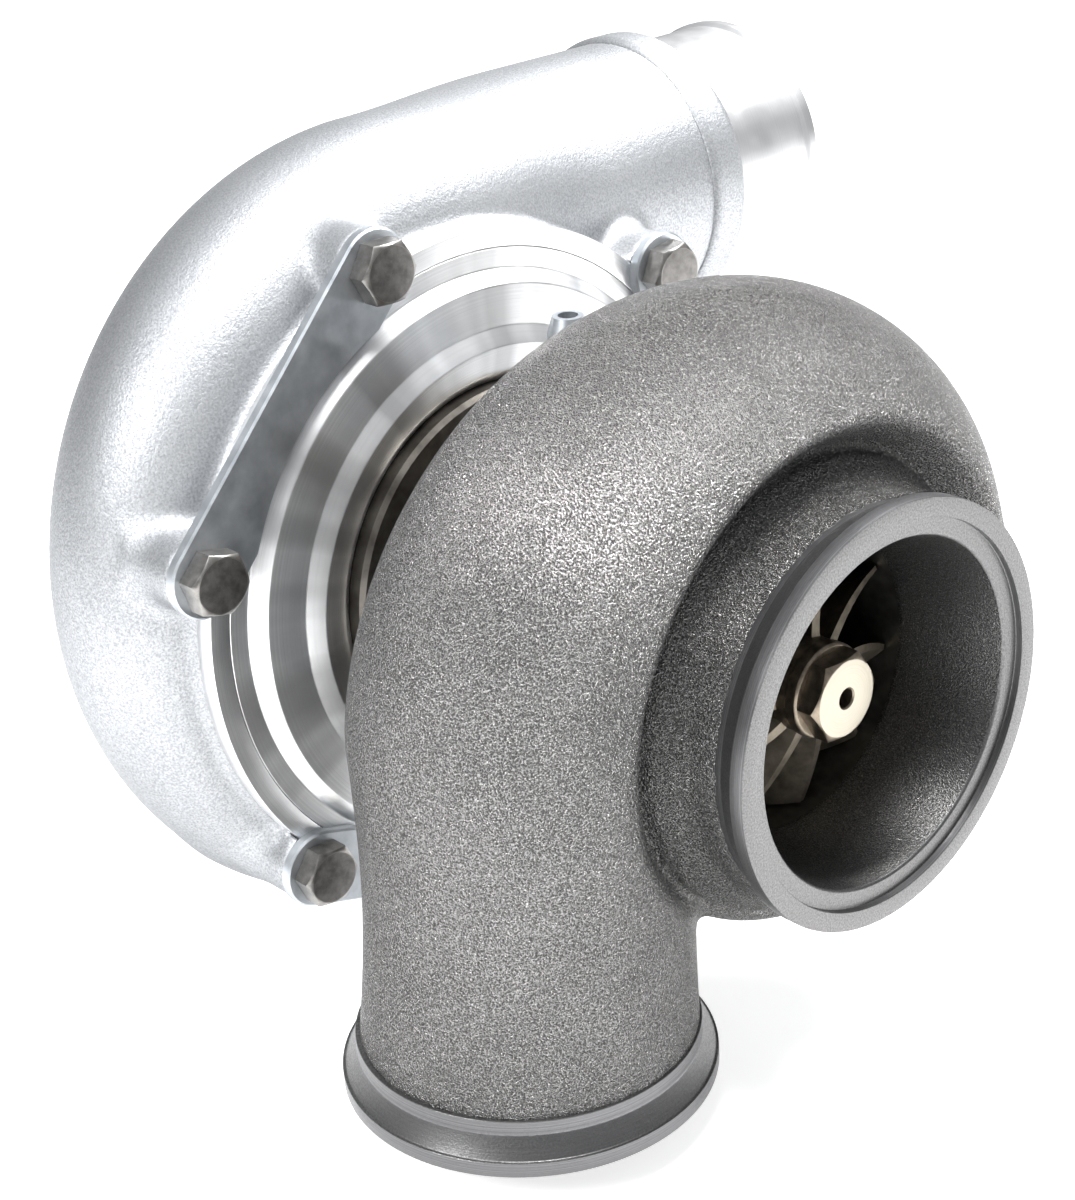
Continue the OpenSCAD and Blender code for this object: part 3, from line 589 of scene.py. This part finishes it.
def plated(name, low, high, rough, patch=6.0):
    """Sheet or forged metal with a softly mottled plating."""
    recipe = Recipe(name)
    mottle = recipe.noise(patch, 4.0, 0.6)
    fine = recipe.noise(0.35, 2.0)
    tone = recipe.colour(recipe.ramp(mottle, 0.3, 0.7, 0.0, 1.0), low, high)
    gloss = recipe.math("ADD", recipe.ramp(mottle, 0.3, 0.7, -0.05, 0.06), rough)
    return recipe.finish(
        Base_Color=tone, Metallic=0.95, Roughness=gloss, Normal=recipe.bump(fine, 0.25, 0.02)
    )


def rubber(name):
    """Black moulded rubber."""
    recipe = Recipe(name)
    fine = recipe.noise(0.3, 2.0)
    tone = recipe.colour(fine, (0.012, 0.012, 0.012), (0.03, 0.03, 0.03))
    return recipe.finish(
        Base_Color=tone, Metallic=0.0, Roughness=recipe.ramp(fine, 0.3, 0.7, 0.55, 0.7),
        Normal=recipe.bump(fine, 0.3, 0.02),
    )


# neck sets how far the outlet's neck is darkened, partly for its rough surface and partly as painted
# shade
turbine_iron = sand_casting("turbine_iron", (0.09, 0.089, 0.087), (0.34, 0.336, 0.33), neck=0.45)
cover_aluminium = blasted_aluminium("cover_aluminium", (0.34, 0.35, 0.365), (0.52, 0.53, 0.545))
turned_iron = flange_metal("turned_iron", (0.18, 0.179, 0.178), (0.19, 0.19, 0.194), 0.38)
cone_iron = sand_casting(
    "cone_iron", (0.07, 0.07, 0.069), (0.16, 0.158, 0.155), grit=0.35, rough=0.4, relief=0.08
)
bearing_iron = plated("bearing_iron", (0.09, 0.082, 0.072), (0.2, 0.185, 0.165), 0.36, patch=8.0)
dark_iron = plated("dark_iron", (0.09, 0.085, 0.08), (0.15, 0.145, 0.135), 0.4, patch=3.0)
# The last number sets how deep the fans of painted reflection are
bright_aluminium = turned_metal("bright_aluminium", (0.96, 0.965, 0.97), 0.34, sheen_rays=0.12)
plate_aluminium = turned_metal("plate_aluminium", (0.97, 0.975, 0.98), 0.36, pitch=0.4, sheen_rays=0.7)
zinc_plate = plated("zinc_plate", (0.42, 0.45, 0.48), (0.6, 0.63, 0.66), 0.42)
bolt_steel = plated("bolt_steel", (0.2, 0.195, 0.185), (0.36, 0.345, 0.33), 0.34, patch=2.5)
bolt_face = plated("bolt_face", (0.13, 0.125, 0.12), (0.24, 0.23, 0.22), 0.42, patch=2.0)
wheel_alloy = plated("wheel_alloy", (0.15, 0.13, 0.1), (0.28, 0.245, 0.195), 0.5, patch=3.0)
hub_alloy = plated("hub_alloy", (0.16, 0.135, 0.105), (0.32, 0.27, 0.21), 0.36, patch=2.0)
nose_alloy = turned_metal("nose_alloy", (0.4, 0.365, 0.3), 0.34, pitch=0.25)
shield_steel = plated("shield_steel", (0.3, 0.29, 0.28), (0.42, 0.41, 0.4), 0.4)
ground_steel = plated("ground_steel", (0.4, 0.39, 0.38), (0.55, 0.54, 0.53), 0.25)
bearing_bronze = plated("bearing_bronze", (0.5, 0.34, 0.14), (0.68, 0.49, 0.24), 0.3)
washer_copper = plated("washer_copper", (0.55, 0.25, 0.14), (0.7, 0.38, 0.24), 0.32)
milled_aluminium = plated("milled_aluminium", (0.62, 0.63, 0.65), (0.8, 0.81, 0.82), 0.26)
seal_rubber = rubber("seal_rubber")

CAD_MATERIALS = {
    "heat_shield": shield_steel,
    "bearing_housing": bearing_iron,
    "oil_inlet_washer": washer_copper,
    "journal_bearing_turbine": bearing_bronze,
    "journal_bearing_compressor": bearing_bronze,
    "bearing_snap_rings": ground_steel,
    "piston_ring_turbine": ground_steel,
    "thrust_collar": ground_steel,
    "thrust_bearing": bearing_bronze,
    "thrust_bearing_screws": bolt_steel,
    "oil_deflector": shield_steel,
    "piston_ring_compressor": ground_steel,
    "backplate_o_ring": seal_rubber,
    "center_housing_o_ring": seal_rubber,
    "backplate_bolts": bolt_steel,
    "compressor_nut": ground_steel,
    "turbine_clamp_plates": zinc_plate,
    "turbine_housing_bolts": bolt_steel,
    "oil_inlet_fitting": zinc_plate,
}


def dress_cad_nodes():
    """Gives the CAD nodes that stay their materials."""
    for node, material in CAD_MATERIALS.items():
        for slot in frame["nodes"][node].material_slots:
            slot.material = material


# ---- turbine housing ----


def hot_scroll(s):
    """Centre and radius of the turbine scroll, from 0 at the inlet to 1 at the small end."""
    centre = 51 - 15 * s
    outside = 87.5 - 26 * s - 14 * s**4
    return (-52 + 18 * s, *around(180 - 320 * s, centre)), outside - centre


def hot_duct(t):
    """Centre and radius of the inlet duct, from 0 at the scroll to 1 at the flange."""
    (x, y, _), radius = hot_scroll(0)
    end = min(t, 1)
    waist = 2 * math.sin(math.pi * end)
    centre = (mix(x, INLET.x, end), mix(y, INLET.y, end), (INLET.z + FLANGE_LIP) * t)
    return centre, mix(radius, INLET_CAST_R, end) - waist


def hot_tips(count=9):
    """The turbine wheel's tip line, as [radius, x] points from the outlet to the inlet."""
    return elbow((EXDUCER_R, -29), (TURBINE_R, NOZZLE_FRONT_X), 1, count)


def outlet_neck(space, solid):
    """The casting with its outlet neck, which bulges behind the flange and runs into the scroll."""
    recess = [(20, -26), (50.5, -24), (60, -9), (60, 6), (20, 6)]
    neck = [(30, -9.0), (43.0, -9.0), (43.5, -15), (46.3, -18), (48.4, -20.5), (48.6, -23), (47, -27),
            (30, -27)]
    solid = cut_out(solid, spun(space, recess), 2.5)
    return join(solid, spun(space, neck), 1.6)


def hot_passage(space, tube):
    """The gas passage inside the scroll's tube, clear of the clamp pad, the core and the neck."""
    around_neck = [(0, -34), (HOT_GUARD_R, -34), (66, -16), (66, 4), (0, 4)]
    return without(
        tube + HOT_WALL,
        drum(space, HOT_POCKET_R + HOT_WALL, -110, HOT_CORE_X),
        drum(space, HOT_GUARD_R, HOT_CORE_X, 4),
        spun(space, around_neck),
    )


def turbine_room():
    """The room for the turbine wheel: the cone, the bore, the nozzle slot and the seat behind."""
    cone = [(0, 6), (38, 6), (38, -9), (EXDUCER_R + 1.2, EXDUCER_X)]
    tips = [(r + 0.9, x) for r, x in hot_tips()]
    slot = [(NOZZLE_R, NOZZLE_FRONT_X), (NOZZLE_R, NOZZLE_BACK_X)]
    seat = [(HOT_SEAT_R, NOZZLE_BACK_X), (HOT_SEAT_R, -90), (0, -90)]
    return cone + tips + slot + seat


def turbine_casting():
    """The scroll, its inlet duct, the clamp pad and the outlet neck in one casting."""
    space = Space((-98, -96, -74), (2, 84, 92))
    duct = [hot_duct(t) for t in steps(1.6, 0, 90)]
    large = swept(space, duct + [hot_scroll(s) for s in steps(0, 0.6, 200)])
    small = swept(space, [hot_scroll(s) for s in steps(0.55, 1, 120)])
    solid = join(large, small, 4)
    solid = join(solid, drum(space, HOT_PAD_R, HOT_FACE_X, -60), 4)
    solid = join(solid, drum(space, HOT_CORE_R, HOT_CORE_X, -22), 3)
    solid = outlet_neck(space, solid)
    solid = without(
        solid,
        hot_passage(space, np.minimum(large, small)),
        spun(space, turbine_room()),
        drum(space, HOT_POCKET_R, -120, HOT_FACE_X),
        rod(space, 2, INLET, bore("turbine_inlet"), -100, -64.5),
    )
    solid = np.maximum(solid, INLET.z + INLET_NECK_DEPTH - 0.8 - space.z)
    piece = cast("turbine_casting", space, solid, "housings", turbine_iron, "turbine_housing")


def v_band(flange_r, neck_r, register_r, bore_r, depth):
    """A V-band flange from its face inwards, as [radius, height below the face] points."""
    return [
        (bore_r, -REGISTER - 0.5), (bore_r + 0.5, -REGISTER), (register_r, -REGISTER), (register_r, 0),
        (flange_r, 0), (flange_r, -FLANGE_LIP), (flange_r - 0.6, -FLANGE_LIP),
        (neck_r, -FLANGE_LIP - FLANGE_CONE), (neck_r, -depth), (bore_r, -depth),
    ]


def turbine_flanges():
    """The turned outlet and inlet flanges, the outlet's bored cone and the wheel's bore."""
    outlet = v_band(OUTLET_R, OUTLET_NECK_R, bore("turbine_outlet"), OUTLET_BORE_R, OUTLET_NECK_DEPTH)
    turned("outlet_flange", outlet, "housings", turned_iron)
    cone_r = EXDUCER_R + 0.35
    cone = [(OUTLET_BORE_R, -2.1), (OUTLET_BORE_R + 1.4, -2.1), (OUTLET_BORE_R + 1.4, -9.5),
            (EXDUCER_R + 1.8, EXDUCER_X - 0.9), (cone_r, EXDUCER_X - 0.9), (cone_r, EXDUCER_X)]
    turned("outlet_cone", cone, "housings", cone_iron, soft=0.15)
    tips = [(EXDUCER_R, EXDUCER_X - 0.5)] + hot_tips()
    inner = [(r + 0.4, x) for r, x in tips]
    outer = [(r + 1.4, x + 0.8) for r, x in reversed(tips)]
    turned("wheel_bore", inner + outer, "housings", dark_iron, soft=0.1)
    inlet = v_band(INLET_R, INLET_NECK_R, INLET_REGISTER_R, bore("turbine_inlet"), INLET_NECK_DEPTH)
    lathe("inlet_flange", inlet, "housings", turned_iron, facing((0, 0, -1), INLET))


# ---- compressor housing ----


def cold_scroll(s):
    """Centre and radius of the compressor scroll, from 0 at the small end to 1 at the outlet."""
    radius = 9.1 + 18.8 * s**0.77
    centre = 64.4 + 0.2 * radius
    return (-126.1 - 1.04 * radius, *around(90 + 330 * (1 - s), centre)), radius


def cold_duct(y):
    """Centre and radius of the outlet duct at a distance from the top of the scroll."""
    (x, _, z), radius = cold_scroll(1)
    along = min(y / 60, 1)
    t = along * along * (3 - 2 * along)
    return (mix(x, HOSE.x, t), y, mix(z, HOSE.z, t)), mix(radius, 34.2, t)


def bolt_angles():
    """The angles of the six cover bolts, two to a plate."""
    return [centre + side * PLATE_SPAN / 2 for centre in PLATE_CENTRES for side in (-1, 1)]


def compressor_tips(count=13):
    """The compressor wheel's tip line, as [radius, x] points from the inlet to the outlet."""
    return elbow((INDUCER_R, -162), (COMPRESSOR_R, -132.6), COMPRESSOR_LEAN, count)


def compressor_room():
    """The room for the compressor wheel: the intake, the bore, the diffuser and the backplate."""
    intake = [(0, -230), (46.8, -230), (46.8, -196), (44, -188), (38, -180), (33, -174), (31.5, -168)]
    tips = [(r + 0.45, x - 0.45) for r, x in compressor_tips()]
    return intake + tips + [(62.5, SHROUD_X), (62.5, DIFFUSER_X), (76, DIFFUSER_X), (76, -100), (0, -100)]


def compressor_casting():
    """The scroll, its outlet duct, the bolt pads, the rim's back and the intake's body."""
    space = Space((-205, -106, -104), (-118, 104, 102))
    duct = [cold_duct(y) for y in steps(0, 150, 150)]
    large = swept(space, [cold_scroll(s) for s in steps(0.52, 1, 260)] + duct)
    small = swept(space, [cold_scroll(s) for s in steps(0, 0.6, 220)])
    solid = join(large, small, 3)
    solid = join(solid, drum(space, 77, -137, -124), 2.5)
    body = [(0, INTAKE_ROOT), (52.5, INTAKE_ROOT), (54.5, -184), (56.5, -180), (58, -170), (60, -137),
            (0, -137)]
    solid = join(solid, spun(space, body), 6)
    for angle in bolt_angles():
        centre = (0, *around(angle, BOLT_R))
        solid = join(solid, rod(space, 0, centre, BOLT_PAD_R, -135.5, COVER_X), 5)
    solid = np.maximum(solid, space.x - COVER_X)
    rim_groove = [(75.5, -125), (77.6, -125), (77.6, -110), (75.5, -110)]
    solid = cut_out(solid, spun(space, rim_groove), 0.5)
    passage = without(
        np.minimum(large, small) + COLD_WALL,
        drum(space, 60, -137.5, -110),
        drum(space, 43, -210, -120),
    )
    solid = without(solid, passage, spun(space, compressor_room()))
    solid = np.maximum(solid, space.y - 95)
    piece = cast("compressor_casting", space, solid, "housings", cover_aluminium, "compressor_housing")


def compressor_turned_parts():
    """The turned rim round the backplate, and the outlet's and intake's spigots."""
    rim = [(COVER_BORE_R, COVER_X), (COVER_RIM_R, COVER_X), (COVER_RIM_R, -125.6), (77, -128.5),
           (COVER_BORE_R, -128.5)]
    turned("cover_rim", rim, "housings", bright_aluminium)
    r = bore("compressor_outlet")
    collar = [(r + 1, 92), (34.5, 92), (35.6, 94), (35.6, 101), (34.6, 103), (r + 1, 103)]
    outlet = facing((0, 1, 0), (HOSE.x, 0, HOSE.z))
    lathe("outlet_collar", collar, "housings", cover_aluminium, outlet, soft=0.8)
    spigot = [(r, SPIGOT_ROOT), (HOSE_R, SPIGOT_ROOT), (HOSE_R, HOSE_END - 3.6),
              (HOSE_R + 1, HOSE_END - 2.6), (HOSE_R + 1, HOSE_END), (r, HOSE_END)]
    lathe("outlet_spigot", spigot, "housings", bright_aluminium, outlet)
    r = bore("compressor_inlet")
    intake = [(r, INTAKE_END), (INTAKE_R + 1, INTAKE_END), (INTAKE_R + 1, INTAKE_END + 3),
              (INTAKE_R, INTAKE_END + 4), (INTAKE_R, INTAKE_ROOT), (r, INTAKE_ROOT)]
    turned("intake_spigot", intake, "housings", bright_aluminium)


# ---- backplate, plates and bolts ----


def backplate():
    """The turned disc that closes the compressor housing."""
    profile = [
        (9, -121), (43.55, -121), (43.55, -117.5), (45.8, -115.9), (51.9, -114.8), (55.7, -117.3),
        (64.8, -118.4), (67.8, COVER_X), (72.35, COVER_X), (72.35, -123.9), (70.1, -123.9),
        (70.1, -126.7), (72.35, -126.7), (72.35, -128), (43.5, -128), (43, -126.4), (9, -126.4),
    ]
    piece = turned("backplate", profile, "housings", plate_aluminium, soft=0.3)
    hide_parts("compressor_backplate")


def plate_outline(inset):
    """A clamp plate's outline about its own centre line: [radial, sideways] points."""
    reach = BOLT_R * math.cos(math.radians(PLATE_SPAN / 2))
    half = BOLT_R * math.sin(math.radians(PLATE_SPAN / 2))
    end_r = 9 - inset
    hollow_r = 68.4 + inset
    inner = reach - end_r
    meet = math.degrees(math.acos(min(inner / hollow_r, 1)))
    points = []
    for first, sideways in ((0, half), (180, -half)):
        ends = [around(degrees, end_r) for degrees in range(first, first + 181, 12)]
        points += [(reach + x, sideways + y) for x, y in ends]
        if first == 0:
            points += [around(degrees, hollow_r) for degrees in steps(meet, -meet, 25)]
    return points


def clamp_plate(name, angle):
    """A flat plate with broken edges that spans two bolts."""
    bevel = 0.45
    layers = [(bevel, 0.0), (0.0, bevel), (0.0, PLATE_T - bevel), (bevel, PLATE_T)]
    verts = []
    for inset, height in layers:
        for radial, side in plate_outline(inset):
            a = math.radians(angle)
            verts.append((COVER_X + height, radial * math.cos(a) - side * math.sin(a),
                          radial * math.sin(a) + side * math.cos(a)))
    faces = stack_faces(len(layers), len(verts) // len(layers))
    piece = new_object(name, verts, outward(verts, faces), "housings", zinc_plate, sharp=25)
    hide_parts(name.replace("plate_", "clamp_plate_"))


def hexagon(angle, flats):
    """Distance from a hexagon's centre to its side at an angle in radians."""
    return flats / 2 / math.cos((angle % (math.pi / 3)) - math.pi / 6)


def hex_head(flats, face_r, height, hole_r, sides=120):
    """A chamfered hexagon head from z = 0 to its height, as (verts, faces)."""
    slope = 0.62
    broken = min(0.3, hole_r)  # bevel round the hole
    angles = [2 * math.pi * i / sides for i in range(sides)]
    rings = []
    for a in angles:
        out = hexagon(a, flats)
        fall = max(out - face_r, 0) * slope
        rings.append([(hole_r, height - broken), (hole_r + broken, height), (face_r - 0.15, height),
                      (face_r + 0.1, height - 0.06), (out - 0.12, height - fall + 0.02),
                      (out, height - fall - 0.14), (out, 0.2), (out - 0.25, 0.0), (hole_r, 0.0)])
    verts = [(r * math.cos(a), r * math.sin(a), h) for a, ring in zip(angles, rings) for r, h in ring]
    return verts, ring_faces(sides, len(rings[0]))


def second_material(piece, material, low, radius):
    """Gives a head's flat end, above a height and within a radius, a material of its own."""
    piece.data.materials.append(material)
    for polygon in piece.data.polygons:
        if polygon.center.z > low * MM and polygon.center.xy.length < radius * MM:
            polygon.material_index = 1


def bolt_mesh():
    """An M8 bolt along z, with its seat at zero, as (verts, faces)."""
    sides = 32
    axis_r = 0.05
    verts, faces = hex_head(FLATS, 0.47 * FLATS, HEAD_HEIGHT, axis_r)
    shank = [(4, 0.1), (4, -12), (3, -13), (axis_r, -13), (axis_r, 0.1)]
    faces += ring_faces(sides, len(shank), start=len(verts))
    for i in range(sides):
        a = 2 * math.pi * i / sides
        verts += [(r * math.cos(a), r * math.sin(a), h) for r, h in shank]
    return verts, faces


def cover_bolts():
    """The six bolts of the compressor's clamp plates, each turned as it was tightened."""
    verts, faces = bolt_mesh()
    faces = outward(verts, faces)
    for number, (angle, turn) in enumerate(zip(bolt_angles(), BOLT_TURNS), start=1):
        place = facing((1, 0, 0), (COVER_X + PLATE_T, *around(angle, BOLT_R)))
        place = place @ Matrix.Rotation(math.radians(turn), 4, "Z")
        piece = new_object(f"cover_bolt_{number}", verts, faces, "housings", bolt_steel, place, sharp=25)
        second_material(piece, bolt_face, HEAD_HEIGHT - 0.1, 6)
    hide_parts("cover_bolts")


# ---- wheels ----


def blade(root, tip, root_t, tip_t, across=7):
    """A blade between two lines of [radius, x, angle in degrees] points, thickest at its root."""
    verts = []
    for start, end in zip(root, tip):
        for side in (1, -1):
            for k in range(across) if side > 0 else reversed(range(across)):
                t = k / (across - 1)
                r, x, angle = (mix(p, q, t) for p, q in zip(start, end))
                a = math.radians(angle) + side * mix(root_t, tip_t, t) / 2 / max(r, 1)
                verts.append((x, r * math.cos(a), r * math.sin(a)))
    return verts, outward(verts, stack_faces(len(root), 2 * across))


def spun_copies(verts, faces, count, offset=0):
    """Copies of a mesh at even angles about the shaft, as one mesh."""
    all_verts, all_faces = [], []
    for k in range(count):
        a = 2 * math.pi * (k + offset) / count
        c, s = math.cos(a), math.sin(a)
        base = len(all_verts)
        all_verts += [(x, y * c - z * s, y * s + z * c) for x, y, z in verts]
        all_faces += [tuple(i + base for i in face) for face in faces]
    return all_verts, all_faces


def turbine_turn(x):
    """The angle of the turbine blades in degrees at a station of the shaft."""
    return 0.036 * max(0, x + 56) ** 2


def turbine_wheel():
    """The turbine wheel's hub, hexagon nose, blades and shaft."""
    hub_end = (TURBINE_R - 1, -59.3)
    hub = elbow((10, -20.6), hub_end, 1, 19)
    root = elbow((10, -22), hub_end, 1, 19)
    tip = hot_tips(19)
    nose = [(NOSE_HOLE_R, -14), (8.2, -14), (8.2, -17.4), (9.8, -17.4), (10.3, -17.9), (10.3, -20.2)]
    back = [(34.5, -60.3), (14, -61.2), (10.4, -62.2), (10.4, -66.5), (9.1, -66.5), (9.1, -68.2),
            (10.4, -68.2), (10.4, -72), (5.5, -74), (5.5, -107.5), (4, -108), (4, -173.2), (3.2, -174),
            (0.05, -174), (0.05, -20), (NOSE_HOLE_R, -20)]
    turned("turbine_hub", nose + hub + back, "rotor", hub_alloy, soft=0.2)
    verts, faces = blade([(r - 1.2, x - 0.5, turbine_turn(x)) for r, x in root],
                         [(r, x, turbine_turn(x)) for r, x in tip], 2.6, 1.2)
    verts, faces = spun_copies(verts, faces, TURBINE_BLADES)
    piece = new_object("turbine_blades", verts, faces, "rotor", wheel_alloy)
    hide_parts("turbine_wheel_and_shaft")


def turbine_nose():
    """The hexagon on the front of the turbine wheel, with a bright end."""
    verts, faces = hex_head(NOSE_FLATS, NOSE_FACE_R, NOSE_HEIGHT, NOSE_HOLE_R)
    turn = Matrix.Rotation(math.radians(NOSE_TURN), 4, "Z")
    place = facing((1, 0, 0), (NOSE_BACK_X, 0, 0)) @ turn
    piece = new_object("turbine_nose", verts, outward(verts, faces), "rotor", hub_alloy, place, sharp=25)
    second_material(piece, nose_alloy, NOSE_HEIGHT - 0.1, NOSE_FACE_R)


def compressor_wheel():
    """The compressor wheel's hub with its full blades and splitters."""
    stations = 17
    hub = elbow((9.5, -164), (COMPRESSOR_R, -128.9), COMPRESSOR_LEAN, stations)
    tip = compressor_tips(stations)
    turn = [70 * (1 - t) ** 1.4 - 18 * t**3 for t in steps(0, 1, stations)]
    front = [(COMPRESSOR_BORE_R, -166), (8.6, -166)]
    back = [(COMPRESSOR_R, -128.4), (20, -127.4), (12, -127.2), (COMPRESSOR_BORE_R, -127.2)]
    piece = turned("compressor_hub", front + hub + back, "rotor", milled_aluminium, soft=0.2)
    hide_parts("compressor_wheel")
    root = [(r - 0.9, x + 0.4, a) for (r, x), a in zip(hub, turn)]
    tip = [(r, x, a) for (r, x), a in zip(tip, turn)]
    for name, first, offset in (("full_blades", 0, 0), ("splitter_blades", 4, 0.5)):
        verts, faces = blade(root[first:], tip[first:], 1.5, 0.9)
        verts, faces = spun_copies(verts, faces, COMPRESSOR_BLADES // 2, offset)
        new_object(name, verts, faces, "rotor", milled_aluminium)


# ---- camera, light and floor ----


def camera():
    """A long lens above and in front of the turbine outlet, turned a little about its own axis."""
    angles = (CAMERA_AZIMUTH, CAMERA_ELEVATION, CAMERA_ROLL)
    azimuth, elevation, roll = (math.radians(a) for a in angles)
    away = Vector((math.sin(azimuth) * math.cos(elevation), -math.cos(azimuth) * math.cos(elevation),
                   math.sin(elevation)))
    right = (-away).cross(Vector((0, 0, 1))).normalized()
    up = away.cross(right)
    turn = Matrix((right, up, away)).transposed().to_4x4() @ Matrix.Rotation(-roll, 4, "Z")
    data = bpy.data.cameras.new("camera")
    data.sensor_width = 36
    data.lens = CAMERA_LENS
    view = bpy.data.objects.new("camera", data)
    bpy.context.scene.collection.objects.link(view)
    view.matrix_world = Matrix.Translation(SHAFT + Vector(CAMERA_PLACE) * MM) @ turn
    bpy.context.scene.camera = view


def soft_box(name, place, size, power):
    """A square area light at a place in metres about the shaft, aimed at the object."""
    data = bpy.data.lights.new(name, "AREA")
    data.size = size
    data.energy = power
    lamp = bpy.data.objects.new(name, data)
    bpy.context.scene.collection.objects.link(lamp)
    aim = (Vector(LIT_POINT) - Vector(place)).to_track_quat("-Z", "Y").to_matrix().to_4x4()
    lamp.matrix_world = Matrix.Translation(SHAFT + Vector(place)) @ aim


def world_light():
    """A light tent: bright overhead and dimmer towards the horizon."""
    world = bpy.data.worlds.new("surround")
    world.use_nodes = True
    tree = world.node_tree
    direction = tree.nodes.new("ShaderNodeTexCoord").outputs["Generated"]
    split = tree.nodes.new("ShaderNodeSeparateXYZ")
    tree.links.new(direction, split.inputs[0])
    rise = tree.nodes.new("ShaderNodeMapRange")
    for key, value in (("From Min", 0.0), ("From Max", 0.6), ("To Min", 0.16), ("To Max", 0.5)):
        rise.inputs[key].default_value = value
    tree.links.new(split.outputs["Z"], rise.inputs["Value"])
    background = tree.nodes["Background"]
    background.inputs["Color"].default_value = (0.95, 0.97, 1.0, 1)
    tree.links.new(rise.outputs["Result"], background.inputs["Strength"])
    bpy.context.scene.world = world


def floor():
    """A wide pale floor under the inlet flange."""
    recipe = Recipe("pale_floor")
    tone = recipe.colour(recipe.noise(60.0), (0.86, 0.86, 0.86), (0.88, 0.88, 0.88))
    material = recipe.finish(
        Base_Color=tone, Roughness=0.9, Emission_Color=(1, 1, 1, 1), Emission_Strength=0.72
    )
    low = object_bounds()[0][2]
    corners = [(-1, -1), (1, -1), (1, 1), (-1, 1)]
    mesh = bpy.data.meshes.new("floor")
    mesh.from_pydata([(x * FLOOR_REACH, y * FLOOR_REACH, low) for x, y in corners], [], [(0, 1, 2, 3)])
    mesh.materials.append(material)
    plane = bpy.data.objects.new("floor", mesh)
    bpy.context.scene.collection.objects.link(plane)
    plane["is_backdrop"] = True


camera()
dress_cad_nodes()
turbine_casting()
turbine_flanges()
compressor_casting()
compressor_turned_parts()
backplate()
for plate, plate_angle in zip(("plate_upper", "plate_lower", "plate_side"), PLATE_CENTRES):
    clamp_plate(plate, plate_angle)
cover_bolts()
turbine_wheel()
turbine_nose()
compressor_wheel()
floor()
world_light()
for light in LIGHTS:
    soft_box(*light)
bpy.context.scene.view_settings.view_transform = "Standard"
